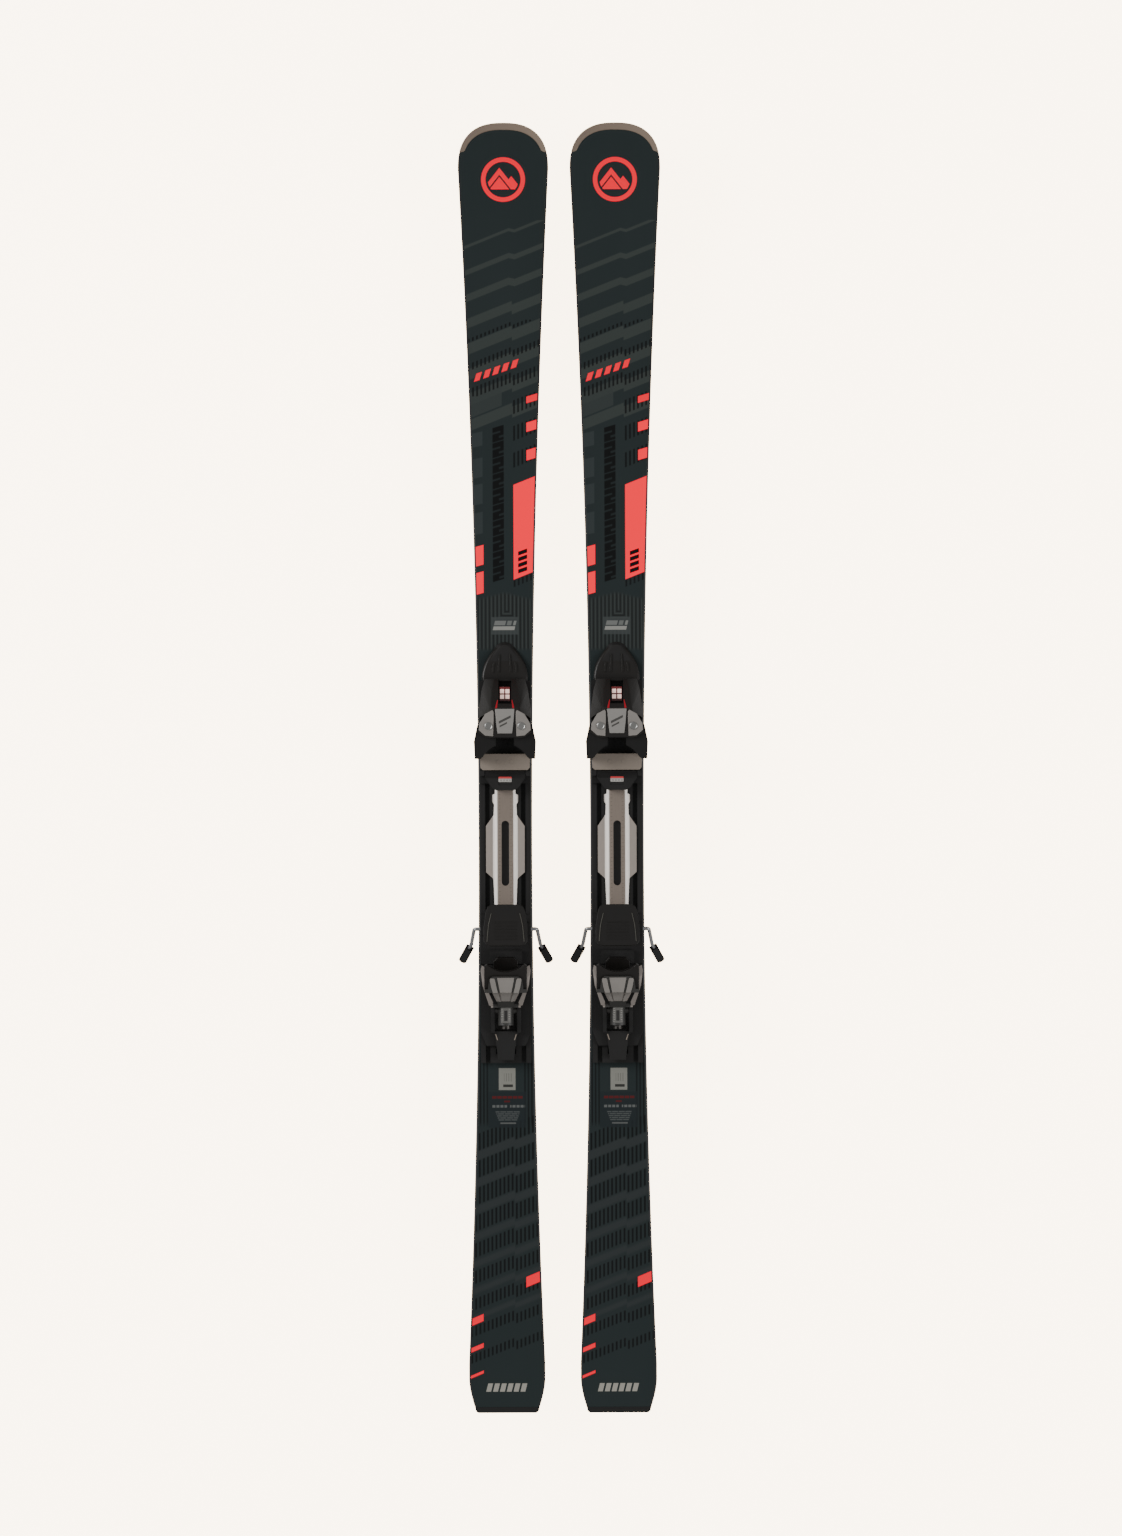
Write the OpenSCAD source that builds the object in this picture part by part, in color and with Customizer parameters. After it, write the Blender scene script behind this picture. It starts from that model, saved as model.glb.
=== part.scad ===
// A pair of alpine skis, each with a track-mounted step-in binding and ski brake.
// X runs across the skis, +Y points to the tips and +Z is up. Each ski is drawn about its own
// centre line, with Y = 0 halfway along it and Z = 0 at the contact points of its running surface.
// The heel piece is open and the brake is down, as when the skis wait for a boot.

/* [Ski] */
// Length of the ski, tip to tail
ski_length = 1730; // [1440:10:2080]
// Width at the widest section of the tip
tip_width = 125.5; // [104:0.5:151]
// Width at the narrowest section, underfoot
waist_width = 72; // [60:0.5:87]
// Width at the widest section of the tail
tail_width = 102.5; // [85:0.5:123]
// Distance from mid-length back to the narrowest section
waist_setback = 110; // [80:5:140]
// Thickness under the binding
waist_thickness = 15; // [12.5:0.5:18]
// Thickness at the tip
tip_thickness = 6.5; // [5.5:0.1:8]
// Thickness at the tail
tail_thickness = 7.5; // [6:0.1:9]
// Height of the running surface under the binding when the ski is unloaded
camber = 3; // [1:0.5:5]
// How far the tip curves up
tip_rise = 55; // [45:1:66]
// How far the tail curves up
tail_rise = 12; // [5:1:20]
// Distance between the centre lines of the two skis
ski_spacing = 150; // [140:5:300]

/* [Laminate] */
// Width of a steel edge
edge_width = 2.2; // [1.8:0.1:2.6]
// Thickness of the running base and height of a steel edge
base_t = 2; // [1.6:0.1:2.4]
// Thickness of the top sheet
top_t = 1.2; // [1:0.1:1.5]
// Width of a sidewall at its foot
sidewall_width = 7; // [5:0.5:8.5]
// Width of the tip guard's rim
guard_width = 6.5; // [5:0.5:8]
// Length of the tail guard
tail_guard_length = 8; // [6:0.5:10]

/* [Binding] */
// Sole length of the boot that the binding is set to
boot_length = 308; // [256:2:370]
// Distance from mid-length back to the middle of the boot sole
boot_setback = 114; // [90:1:140]
// Height of the boot sole above the ski
stand_height = 30; // [28:1:36]
// Thickness of the boot's toe lug
toe_lug = 19; // [16:0.5:23]
// Thickness of the boot's heel lug
heel_lug = 30; // [27:0.5:33]
// Width of the binding track
track_width = 68; // [66:0.5:72]
// Height of the binding track
track_height = 9; // [9:0.5:10]
// Travel of the toe and the heel each way when the boot size is set
size_travel = 10; // [5:1:12]
// How far the open heel piece is tipped back
heel_open_angle = 18; // [14:1:22]

/* [Brake] */
// How far the brake arms reach below the running surface
brake_reach = 50; // [42:1:60]
// Diameter of the brake wire
brake_wire_d = 5; // [4.5:0.1:5.5]
// Free gap between a brake arm and the widest ski edge beside it
brake_gap = 2.8; // [2:0.1:5]

/* [Fits] */
// Gap around plastic slides
slide_gap = 0.3; // [0.2:0.05:0.4]
// Radial clearance of pins and screws
pin_gap = 0.1; // [0.05:0.01:0.1]

/* [Hidden] */
$fn = 48;
PARTS = [
    "running_base", "steel_edges", "sidewalls", "wood_core", "top_sheet", "tip_guard", "tail_guard",
    "binding_track", "track_screws", "size_band",
    "toe_base", "toe_cover", "toe_wing_l", "toe_wing_r", "toe_wing_pins", "toe_spring",
    "toe_setting_screw", "glide_plate", "size_lever",
    "heel_carriage", "heel_pin", "heel_housing", "heel_cup", "heel_spring", "heel_setting_screw",
    "heel_lever",
    "brake_bracket", "brake_wire", "brake_tips", "brake_pedal"
];
SIDES = ["left", "right"];
NODES = [for (side = SIDES) for (part = PARTS) str(side, "_", part)];
node = "all";

half_length = ski_length / 2;

// Binding datums along the ski
toe_y = boot_length / 2 - boot_setback;
heel_y = -boot_length / 2 - boot_setback;
track_nose = toe_y + 130;
track_front = toe_y + 78;
track_rear = heel_y - 127;

// Heights
deck_z = camber + waist_thickness;
rail_z = deck_z + track_height;
sole_z = deck_z + stand_height;
plate_t = 4;
plate_z = rail_z + slide_gap;
floor_z = plate_z + plate_t;
lip_z = sole_z + toe_lug + 0.5;
bridge_z = lip_z + 12;
bridge_t = 6;

// Plan of the ski
sidecut_power = 1.95;
shovel_length = 61;
shovel_power = 2.5;
shovel_y = half_length - shovel_length;
tail_wide_y = -half_length + 66;
tail_taper = 45;
tail_pinch = 10.5;
tail_corner = 6;
guard_y = shovel_y + 22;
tail_face = -half_length + tail_guard_length;
guard_step = 0.05;

// Side view of the ski
rocker_y = half_length - 265;
heel_contact_y = -half_length + 105;

function ramp(t) = let (u = min(1, max(0, t))) u * u * (3 - 2 * u);

function shovel_half(y, half, length) =
    half * pow(max(0, 1 - pow((y - shovel_y) / length, shovel_power)), 1 / shovel_power);

function sidecut_half(y, end_width, reach) =
    waist_width / 2 + (end_width - waist_width) / 2 * pow(abs(y + waist_setback) / reach, sidecut_power);

function tail_half(y) =
    let (d = y + half_length)
    d < tail_corner
        ? tail_half(-half_length + tail_corner) - tail_corner
            + sqrt(max(0, pow(tail_corner, 2) - pow(tail_corner - d, 2)))
        : tail_width / 2 - tail_pinch * pow(max(0, 1 - d / tail_taper), 1.6);

// Half of the ski's width, steel edges included
function ski_half(y) =
    y > shovel_y ? shovel_half(y, tip_width / 2, shovel_length)
    : y < tail_wide_y ? tail_half(y)
    : y > -waist_setback ? sidecut_half(y, tip_width, shovel_y + waist_setback)
    : sidecut_half(y, tail_width, -waist_setback - tail_wide_y);

// Height of the running surface
function base_z(y) =
    y > rocker_y ? tip_rise * pow((y - rocker_y) / (half_length - rocker_y), 2.2)
    : y < heel_contact_y ? tail_rise * pow((heel_contact_y - y) / (half_length + heel_contact_y), 2)
    : y > track_nose ? camber * (1 - ramp((y - track_nose) / (rocker_y - track_nose)))
    : y < track_rear ? camber * (1 - ramp((track_rear - y) / (track_rear - heel_contact_y)))
    : camber;

function thickness(y) =
    y > track_nose
        ? waist_thickness + (tip_thickness - waist_thickness) * ramp((y - track_nose) / (rocker_y - track_nose))
    : y < track_rear
        ? waist_thickness
            + (tail_thickness - waist_thickness) * ramp((track_rear - y) / (track_rear - heel_contact_y))
    : waist_thickness;

function top_z(y) = base_z(y) + thickness(y);

// Stations along the ski, from the tail guard to the start of the tip guard
function steps(from, to, count) = [for (i = [0 : count - 1]) from + (to - from) * i / count];
stations = concat(
    steps(tail_face, tail_wide_y, 8),
    steps(tail_wide_y, track_rear, 9),
    steps(track_rear, track_nose, 8),
    steps(track_nose, rocker_y, 9),
    steps(rocker_y, shovel_y, 12),
    steps(shovel_y, guard_y, 3),
    [guard_y]
);

// Points of a shovel outline from the guard's start round to the tip, for x > 0
rim_steps = 12;
rim_end_angle = 84;
function rim_point(half, length, angle) =
    [half * pow(cos(angle), 2 / shovel_power), shovel_y + length * pow(sin(angle), 2 / shovel_power)];
function rim_start_angle(length) =
    asin(pow((guard_y + guard_step - shovel_y) / length, shovel_power / 2));
function rim(half, length) =
    let (a = rim_start_angle(length))
    [for (i = [0 : rim_steps]) rim_point(half, length, a + (rim_end_angle - a) * i / rim_steps)];
inner_rim = rim(tip_width / 2 - guard_width, shovel_length - 1.5 * guard_width);
outer_rim = rim(tip_width / 2, shovel_length);

// A closed skin over rings of four points each
module skin(rings) {
    n = len(rings);
    points = [for (ring = rings) each ring];
    sides = [for (i = [0 : n - 2]) for (k = [0 : 3])
        let (a = 4 * i + k, b = 4 * i + (k + 1) % 4)
        each [[a, b, b + 4], [a, b + 4, a + 4]]];
    last = 4 * (n - 1);
    ends = [[0, 2, 1], [0, 3, 2], [last, last + 1, last + 2], [last, last + 2, last + 3]];
    polyhedron(points, concat(sides, ends));
}

// One layer of the laminate. Each row of plan is [y, foot_left, foot_right, head_left, head_right],
// and low and high are its heights above the running surface and below the top.
module layer(plan, low, high, from_top = false) {
    skin([for (p = plan) let (
            y = p[0],
            z0 = from_top ? top_z(y) - low : base_z(y) + low,
            z1 = top_z(y) - high
        ) [[p[1], y, z0], [p[3], y, z1], [p[4], y, z1], [p[2], y, z0]]]);
}

function full_plan(inset) = concat(
    [for (y = stations) let (h = ski_half(y) - inset) [y, -h, h, -h, h]],
    [for (p = inner_rim) [p.y, -p.x, p.x, -p.x, p.x]]
);

module both_sides() {
    children();
    mirror([1, 0, 0]) children();
}

// A box that is centred on the ski: half its width, then its lowest and highest y and z
module block(half, y, z) {
    translate([-half, y[0], z[0]]) cube([2 * half, y[1] - y[0], z[1] - z[0]]);
}

// The same between two distances from the centre line, on the +X side
module side_block(x, y, z) {
    translate([x[0], y[0], z[0]]) cube([x[1] - x[0], y[1] - y[0], z[1] - z[0]]);
}

// A round bar along X between two x values
module cross_bar(x, y, z, r) {
    translate([x[0], y, z]) rotate([0, 90, 0]) cylinder(h = x[1] - x[0], r = r);
}

// A round bar along Y
module long_bar(y, z, r, x = 0) {
    translate([x, y[0], z]) rotate([-90, 0, 0]) cylinder(h = y[1] - y[0], r = r);
}

// A prism across the ski whose outline is given as [y, z] points
module cross_prism(x, outline) {
    translate([x[0], 0, 0]) rotate([90, 0, 90]) linear_extrude(x[1] - x[0]) polygon(outline);
}

// A prism along the ski whose outline is given as [x, z] points
module long_prism(y, outline) {
    translate([0, y[1], 0]) rotate([90, 0, 0]) linear_extrude(y[1] - y[0]) polygon(outline);
}

// An upright prism with a mirrored outline: each point is [y, half width]
module plan_prism(outline, z) {
    n = len(outline);
    translate([0, 0, z[0]]) linear_extrude(z[1] - z[0]) polygon(concat(
        [for (p = outline) [p[1], p[0]]],
        [for (i = [n - 1 : -1 : 0]) [-outline[i][1], outline[i][0]]]));
}

// Bars with round joints along a list of points
module bent_wire(path, r) {
    for (i = [0 : len(path) - 2]) {
        v = path[i + 1] - path[i];
        translate(path[i]) rotate([0, acos(v.z / norm(v)), atan2(v.y, v.x)]) cylinder(h = norm(v), r = r);
        if (i > 0) translate(path[i]) sphere(r);
    }
}

// A compression spring along Y with a hexagonal wire section
module spring(y, z, r, wire_r, coils) {
    turn_steps = 14;
    wire_sides = 6;
    total = coils * turn_steps;
    length = y[1] - y[0] - 2 * wire_r;
    rings = [for (i = [0 : total]) [for (k = [0 : wire_sides - 1]) let (
            turn = 360 * i / turn_steps,
            reach = r - wire_r + wire_r * cos(360 * k / wire_sides)
        ) [
            reach * cos(turn),
            y[0] + wire_r + length * i / total + wire_r * sin(360 * k / wire_sides),
            z + reach * sin(turn)
        ]]];
    sides = [for (i = [0 : total - 1]) for (k = [0 : wire_sides - 1]) let (
            a = wire_sides * i + k,
            b = wire_sides * i + (k + 1) % wire_sides
        ) each [[a, b + wire_sides, b], [a, a + wire_sides, b + wire_sides]]];
    start = [for (k = [0 : wire_sides - 1]) k];
    end = [for (k = [wire_sides - 1 : -1 : 0]) wire_sides * total + k];
    polyhedron([for (ring = rings) each ring], concat(sides, [start, end]));
}

// ---------------------------------------------------------------- ski

screw_x = 8;
screw_r = 2.4;
screw_depth = 9;
screw_y = [toe_y + 60, toe_y + 10, toe_y - 60, heel_y + 90, heel_y + 20, heel_y - 80];
channel_floor = 3;

module screw_holes() {
    both_sides() for (y = screw_y)
        translate([screw_x, y, deck_z - screw_depth]) cylinder(h = screw_depth + channel_floor + 1, r = screw_r);
}

module running_base() {
    color([0.07, 0.07, 0.08]) skin([for (p = full_plan(edge_width)) let (y = p[0]) [
        [p[1], y, base_z(y)], [p[1], y, base_z(y) + base_t],
        [p[2], y, base_z(y) + base_t], [p[2], y, base_z(y)]]]);
}

module steel_edges() {
    color([0.72, 0.73, 0.74]) both_sides() skin([for (y = stations) let (h = ski_half(y)) [
        [h - edge_width, y, base_z(y)], [h - edge_width, y, base_z(y) + base_t],
        [h, y, base_z(y) + base_t], [h, y, base_z(y)]]]);
}

sheet_inset = 2.5;

module sidewalls() {
    color([0.05, 0.05, 0.055]) both_sides()
        layer([for (y = stations) let (h = ski_half(y))
            [y, h - sidewall_width, h - 0.3, h - sidewall_width, h - sheet_inset]], base_t, top_t);
}

module wood_core() {
    plan = concat(
        [for (y = stations) let (h = ski_half(y) - sidewall_width) [y, -h, h, -h, h]],
        [for (p = inner_rim) [p.y, -p.x, p.x, -p.x, p.x]]);
    color([0.76, 0.6, 0.4]) difference() {
        layer(plan, base_t, top_t);
        screw_holes();
    }
}

module top_sheet() {
    color([0.09, 0.11, 0.12]) difference() {
        layer(full_plan(sheet_inset), top_t, 0, from_top = true);
        screw_holes();
    }
}

function guard_ring(o, n) = [
    [o.x, o.y, base_z(o.y)], [o.x, o.y, top_z(o.y)],
    [n.x, n.y, top_z(n.y)], [n.x, n.y, base_z(n.y)]];

module tip_guard() {
    right = [for (i = [0 : rim_steps]) guard_ring(outer_rim[i], inner_rim[i])];
    left = [for (i = [rim_steps : -1 : 0]) [for (p = right[i]) [-p.x, p.y, p.z]]];
    apex = guard_ring([0, half_length], [0, inner_rim[rim_steps].y]);
    color([0.45, 0.38, 0.33]) skin(concat(right, [apex], left));
}

module tail_guard() {
    rows = steps(-half_length, tail_face, 10);
    color([0.04, 0.04, 0.045]) skin([for (y = concat(rows, [tail_face])) let (h = ski_half(y)) [
        [-h, y, base_z(y)], [-h, y, top_z(y)], [h, y, top_z(y)], [h, y, base_z(y)]]]);
}

// ---------------------------------------------------------------- track

slot_x = 24;
slot_neck = 3;
slot_head = 6;
slot_head_z = [deck_z + 2.5, deck_z + 5.5];
channel_half = 13.5;

module t_slots(y, gap) {
    both_sides() {
        side_block([slot_x - slot_neck + gap, slot_x + slot_neck - gap], y, [slot_head_z[0] + gap, floor_z]);
        side_block([slot_x - slot_head + gap, slot_x + slot_head - gap], y,
            [slot_head_z[0] + gap, slot_head_z[1] - gap]);
    }
}

module binding_track() {
    half = track_width / 2;
    color([0.05, 0.05, 0.05]) {
        difference() {
            block(half, [track_rear, track_front], [deck_z, rail_z]);
            block(channel_half, [track_rear + 12, track_front - 10], [deck_z + channel_floor, rail_z + 1]);
            t_slots([track_rear - 1, track_front - 14], 0);
            screw_holes();
        }
        hull() {
            block(half - 3, [track_front, track_front + 0.5], [deck_z, rail_z]);
            both_sides() translate([half - 17, track_front + 18, deck_z]) cylinder(h = 7, r1 = 12, r2 = 9, $fn = 32);
            translate([0, track_nose - 16, deck_z]) cylinder(h = 4, r1 = 16, r2 = 12, $fn = 32);
        }
    }
}

module track_screws() {
    r = screw_r - pin_gap;
    color([0.6, 0.6, 0.6]) both_sides() for (y = screw_y) translate([screw_x, y, 0]) {
        translate([0, 0, deck_z - screw_depth + 0.5]) cylinder(h = screw_depth + channel_floor, r = r);
        translate([0, 0, deck_z + channel_floor]) difference() {
            cylinder(h = 2.2, r = 4.4);
            translate([-3, -0.5, 1.2]) cube([6, 1, 2]);
            translate([-0.5, -3, 1.2]) cube([1, 6, 2]);
        }
    }
}

band_front = toe_y - 52;
band_rear = heel_y + 66;
band_t = 2.6;
ridge_z = rail_z + 7;
band_wing_half = 26;

// The boot-size link that joins the toe and heel carriages: a bronze strip with a hollow ridge
module size_band() {
    middle = (toe_y + heel_y) / 2;
    color([0.55, 0.47, 0.41]) difference() {
        union() {
            plan_prism([
                [band_front, 11.5], [toe_y - 73, 11.5], [toe_y - 75, 17.5], [toe_y - 84, 17.5],
                [toe_y - 88, 15], [middle + 52, 15.5], [middle + 37, band_wing_half],
                [middle - 25, band_wing_half], [middle - 34, 16], [band_rear, 14]
            ], [rail_z, rail_z + band_t]);
            long_prism([band_rear, band_front], [
                [-14, rail_z + band_t], [14, rail_z + band_t], [9.5, ridge_z], [-9.5, ridge_z]]);
        }
        translate([0, 0, rail_z + 1.2]) linear_extrude(20) {
            translate([-5, middle - 38]) square([10, 77]);
            for (y = [middle - 38, middle + 39]) translate([0, y]) circle(5);
        }
    }
}

// ---------------------------------------------------------------- toe piece

wing_x = 22;
wing_y = toe_y + 17;
wing_pin_r = 3.5;
wing_hub_r = 9;
boss_z = sole_z - 2;
toe_barrel_z = floor_z + 12.7;
toe_bore_r = 9.3;
glide_y = [toe_y - 42, toe_y - 20];
guide_y = [toe_y - 38, toe_y - 24];
guide_lip_z = [sole_z - 12, sole_z - 9];
hinge_y = toe_y - 46;
hinge_z = sole_z - 10;
hinge_r = 2.5;
lever_half = 27;

module toe_base() {
    barrel_y = [toe_y + 30, toe_y + 64];
    color([0.06, 0.06, 0.06]) difference() {
        union() {
            plan_prism([[toe_y + 78, 28], [toe_y + 40, 34], [toe_y - 50, 34]], [plate_z, floor_z]);
            both_sides() side_block([18.5, 34], [toe_y - 60, toe_y - 49], [plate_z, floor_z]);
            t_slots([toe_y - 58, toe_y + 50], slide_gap);
            block(13, barrel_y, [floor_z, toe_barrel_z + toe_bore_r + 2]);
            block(11.5, [toe_y + 0.8, barrel_y[0]], [floor_z, bridge_z]);
            block(26, guide_y, [floor_z, sole_z - 5]);
            both_sides() {
                translate([wing_x, wing_y, floor_z]) cylinder(h = boss_z - floor_z, r = wing_hub_r);
                side_block([lever_half + 0.5, 33], [hinge_y - 4, hinge_y + 3.5], [floor_z, hinge_z + 4]);
            }
        }
        long_bar([barrel_y[0] + 4, barrel_y[1] + 1], toe_barrel_z, toe_bore_r);
        block(18.5, [toe_y - 70, band_front + size_travel + 0.5], [plate_z - 1, floor_z + 1]);
        both_sides() {
            translate([wing_x, wing_y, plate_z + 1]) cylinder(h = 40, r = wing_pin_r + pin_gap);
            cross_bar([lever_half, 40], hinge_y, hinge_z, hinge_r + pin_gap);
            side_block([-30, 30], [guide_y[0] - 1, guide_y[0] + 2], guide_lip_z);
            side_block([-30, 30], [guide_y[1] - 2, guide_y[1] + 1], guide_lip_z);
        }
    }
}

// A thin cross-section of the toe cover: [y, half width at the foot, half width at the top, top]
module cover_slice(s, inset) {
    corner = 4;
    for (side = [-1, 1]) {
        translate([side * (s[1] - inset - 1), s[0], floor_z + 0.05]) cube([2, 0.1, 0.1], center = true);
        translate([side * (s[1] - inset - 1), s[0], floor_z + (s[3] - floor_z) * 0.35])
            cube([2, 0.1, 0.1], center = true);
        translate([side * (s[2] - inset - corner), s[0], s[3] - inset - corner]) rotate([90, 0, 0])
            cylinder(h = 0.1, r = corner, $fn = 32);
    }
}

cover_slices = [
    [toe_y + 80, 27, 17, floor_z + 12],
    [toe_y + 66, 31, 20, floor_z + 29],
    [toe_y + 42, 34.5, 21, bridge_z + 3],
    [toe_y + 24, 36, 24, bridge_z + bridge_t]
];
cover_wall = 2.4;
swing_r = 16;

module toe_cover() {
    color([0.07, 0.07, 0.07]) {
        difference() {
            hull() for (s = cover_slices) cover_slice(s, 0);
            hull() for (s = cover_slices) translate([0, -cover_wall, -0.01]) cover_slice(s, cover_wall);
            block(20, [toe_y, toe_y + 26], [floor_z - 1, bridge_z]);
            block(8.5, [toe_y + 47, toe_y + 90], [floor_z + 7, bridge_z + 20]);
            both_sides() translate([wing_x, wing_y, floor_z - 1]) cylinder(h = bridge_z - floor_z + 1, r = swing_r);
        }
        difference() {
            plan_prism([[toe_y + 24, 24], [toe_y + 20, 33], [toe_y + 14, 36], [toe_y + 8, 35.5],
                [toe_y + 2, 26], [toe_y + 1, 20], [toe_y + 2, 11]], [bridge_z, bridge_z + bridge_t]);
            both_sides() translate([wing_x, wing_y, bridge_z - 1]) cylinder(h = 5, r = wing_pin_r + pin_gap);
        }
    }
}

// The wing on the +X side of the toe; its pivot is at wing_x, wing_y
module toe_wing() {
    lug = [[22, 26], [30, 25], [37, 18], [41.6, -4], [40.5, -27], [33, -27], [12.2, -9], [12.2, 8], [22, 8]];
    toe_arc = [0, toe_y - 41];
    color([0.05, 0.05, 0.05]) difference() {
        union() {
            translate([wing_x, wing_y, boss_z + slide_gap])
                cylinder(h = bridge_z - boss_z - 2 * slide_gap, r = wing_hub_r);
            translate([0, toe_y, sole_z + 0.6]) linear_extrude(bridge_z - sole_z - 0.6 - slide_gap) polygon(lug);
        }
        translate([wing_x, wing_y, boss_z]) cylinder(h = 60, r = wing_pin_r + pin_gap);
        translate([toe_arc.x, toe_arc.y, sole_z]) cylinder(h = lip_z - sole_z, r = 42);
        translate([toe_arc.x, toe_arc.y, sole_z]) cylinder(h = 60, r = 34);
    }
}

module toe_wing_pins() {
    color([0.7, 0.7, 0.7]) both_sides()
        translate([wing_x, wing_y, plate_z + 1]) cylinder(h = bridge_z + 4 - plate_z - 1, r = wing_pin_r);
}

module toe_spring() {
    color([0.7, 0.7, 0.7]) spring([toe_y + 34.5, toe_y + 57.5], toe_barrel_z, toe_bore_r - 0.5, 1.6, 5);
}

// A plug that turns in a barrel's mouth, with a slotted head
module setting_screw(y, direction, r) {
    translate([0, y, 0]) rotate([-90 * direction, 0, 0]) difference() {
        union() {
            cylinder(h = 6, r = r);
            cylinder(h = 12, r = 6);
        }
        translate([-1, -7, 9.6]) cube([2, 14, 3]);
        translate([-7, -1, 9.6]) cube([14, 2, 3]);
    }
}

module toe_setting_screw() {
    color([0.75, 0.75, 0.75]) translate([0, 0, toe_barrel_z])
        setting_screw(toe_y + 58, 1, toe_bore_r - pin_gap);
}

module glide_plate() {
    lip = 2 - slide_gap;
    color([0.55, 0.47, 0.41]) {
        plan_prism([[glide_y[1], 34], [glide_y[0] + 3, 33], [glide_y[0], 30]],
            [sole_z - 5 + slide_gap, sole_z]);
        for (side = [0, 1]) {
            skirt = side == 0 ? [glide_y[0], guide_y[0] - slide_gap] : [guide_y[1] + slide_gap, glide_y[1]];
            hook = side == 0 ? [glide_y[0], guide_y[0] + lip] : [guide_y[1] - lip, glide_y[1]];
            block(30, skirt, [guide_lip_z[0] + slide_gap, sole_z - 4]);
            block(30, hook, [guide_lip_z[0] + slide_gap, guide_lip_z[1] - slide_gap]);
        }
    }
}

lever_z = [ridge_z + 1.3, sole_z - 3];

module size_lever() {
    color([0.06, 0.06, 0.06]) {
        difference() {
            union() {
                plan_prism([[hinge_y + 2.8, lever_half], [hinge_y - 6, lever_half], [hinge_y - 15, 21],
                    [hinge_y - 20, 17.5], [hinge_y - 23, 12]], lever_z);
                cross_bar([-lever_half, lever_half], hinge_y, hinge_z, 2.8);
            }
            block(9, [hinge_y - 16, hinge_y - 9], [lever_z[1] - 1, lever_z[1] + 1]);
            cross_prism([-40, 40], [[hinge_y + 9, hinge_z + 2.8], [hinge_y, hinge_z + 2.8],
                [hinge_y - 7, lever_z[1]], [hinge_y - 7, lever_z[1] + 1], [hinge_y + 9, lever_z[1] + 1]]);
        }
        both_sides() cross_bar([lever_half - 0.5, 32], hinge_y, hinge_z, hinge_r);
    }
}

// ---------------------------------------------------------------- brake

brake_y = heel_y + 53;
brake_z = rail_z + 7;
wire_r = brake_wire_d / 2;
wire_bore = wire_r + pin_gap;
bail_half = 20;
bail_length = 36;
bail_angle = 68;
bail_y = brake_y + bail_length * cos(bail_angle);
bail_z = brake_z + bail_length * sin(bail_angle);
arm_x = ski_half(brake_y - 45) + brake_gap + wire_r;
tip_drop = brake_z + brake_reach;
tip_y = brake_y - tip_drop / 2;
pad_tilt = 8;
paddle_length = 30;
arm_path = [
    [arm_x, brake_y, brake_z],
    [arm_x + 4.5, brake_y - (brake_y - tip_y) * 0.52, brake_z - tip_drop * 0.55],
    [arm_x + 14, tip_y + 3, 8 - brake_reach]
];
paddle_foot = arm_path[1];
paddle_run = arm_path[2] - paddle_foot;
paddle_dir = paddle_run / norm(paddle_run);
paddle_half = 4;
paddle_r = 5.5;
paddle_end = norm(paddle_run) + 3;

// Height of the skis' contact points over the lowest point of the brake paddles
ski_lift = -(paddle_foot.z + (paddle_end + paddle_r) * paddle_dir.z
    - paddle_half * sqrt(1 - pow(paddle_dir.z, 2)));

module brake_wire() {
    half_path = concat([[0, bail_y, bail_z], [bail_half, bail_y, bail_z], [bail_half, brake_y, brake_z]], arm_path);
    color([0.62, 0.63, 0.64]) both_sides() bent_wire(half_path, wire_r);
}

// The plastic paddle on the end of each brake arm, drawn along its arm and seated over the wire's end
module brake_tips() {
    start = paddle_end - paddle_length;
    color([0.07, 0.07, 0.07]) both_sides() translate(paddle_foot)
        rotate([0, acos(paddle_dir.z), atan2(paddle_dir.y, paddle_dir.x)]) difference() {
            union() {
                translate([-paddle_half, -paddle_r, start])
                    cube([2 * paddle_half, 2 * paddle_r, paddle_length]);
                translate([-paddle_half, 0, paddle_end]) rotate([0, 90, 0])
                    cylinder(h = 2 * paddle_half, r = paddle_r);
            }
            translate([0, 0, start - 3]) cylinder(h = paddle_length + 0.05, r = wire_r + 0.02);
        }
}

module brake_pedal() {
    slab = [3, 7.5];
    color([0.05, 0.05, 0.05]) translate([0, bail_y, bail_z]) rotate([-pad_tilt, 0, 0]) difference() {
        union() {
            plan_prism([[19, 18], [16.5, 23.5], [10, 26.5], [-12, 29.5], [-30, 29.5], [-35, 26], [-37, 20]], slab);
            block(16.5, [-9, 9], [-4.5, slab[0]]);
        }
        cross_bar([-20, 20], 0, 0, wire_bore);
    }
}

module brake_bracket() {
    y = [heel_y + 6, heel_y + 72];
    color([0.06, 0.06, 0.06]) difference() {
        union() {
            block(34, y, [plate_z, floor_z]);
            t_slots([y[0] + 1, y[1] - 1], slide_gap);
            both_sides() side_block([24, 34], [brake_y - 8, brake_y + 8], [floor_z, brake_z + 6]);
            block(22, [y[0], heel_y + 24], [floor_z, floor_z + 6]);
        }
        block(16.5, [band_rear - size_travel - 1, y[1] + 1], [plate_z - 1, floor_z + 1]);
        cross_bar([-40, 40], brake_y, brake_z, wire_bore);
    }
}

// ---------------------------------------------------------------- heel piece

pivot_y = heel_y - 20;
pivot_z = floor_z + 9;
heel_pin_r = 3.5;
cheek_x = [22.5, 28];
barrel_r = 10.5;
heel_bore_r = 8.6;
heel_barrel_z = floor_z + 15.5;
heel_barrel_y = [heel_y - 76, heel_y - 28];
fork_y = heel_y - 56;
fork_z = floor_z + 14;
fork_r = 3;
fork_swing = 9.3;
cup_wall = [heel_y - 12, heel_y + 4];

module about_pivot(angle) {
    translate([0, pivot_y, pivot_z]) rotate([angle, 0, 0]) translate([0, -pivot_y, -pivot_z]) children();
}

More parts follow.
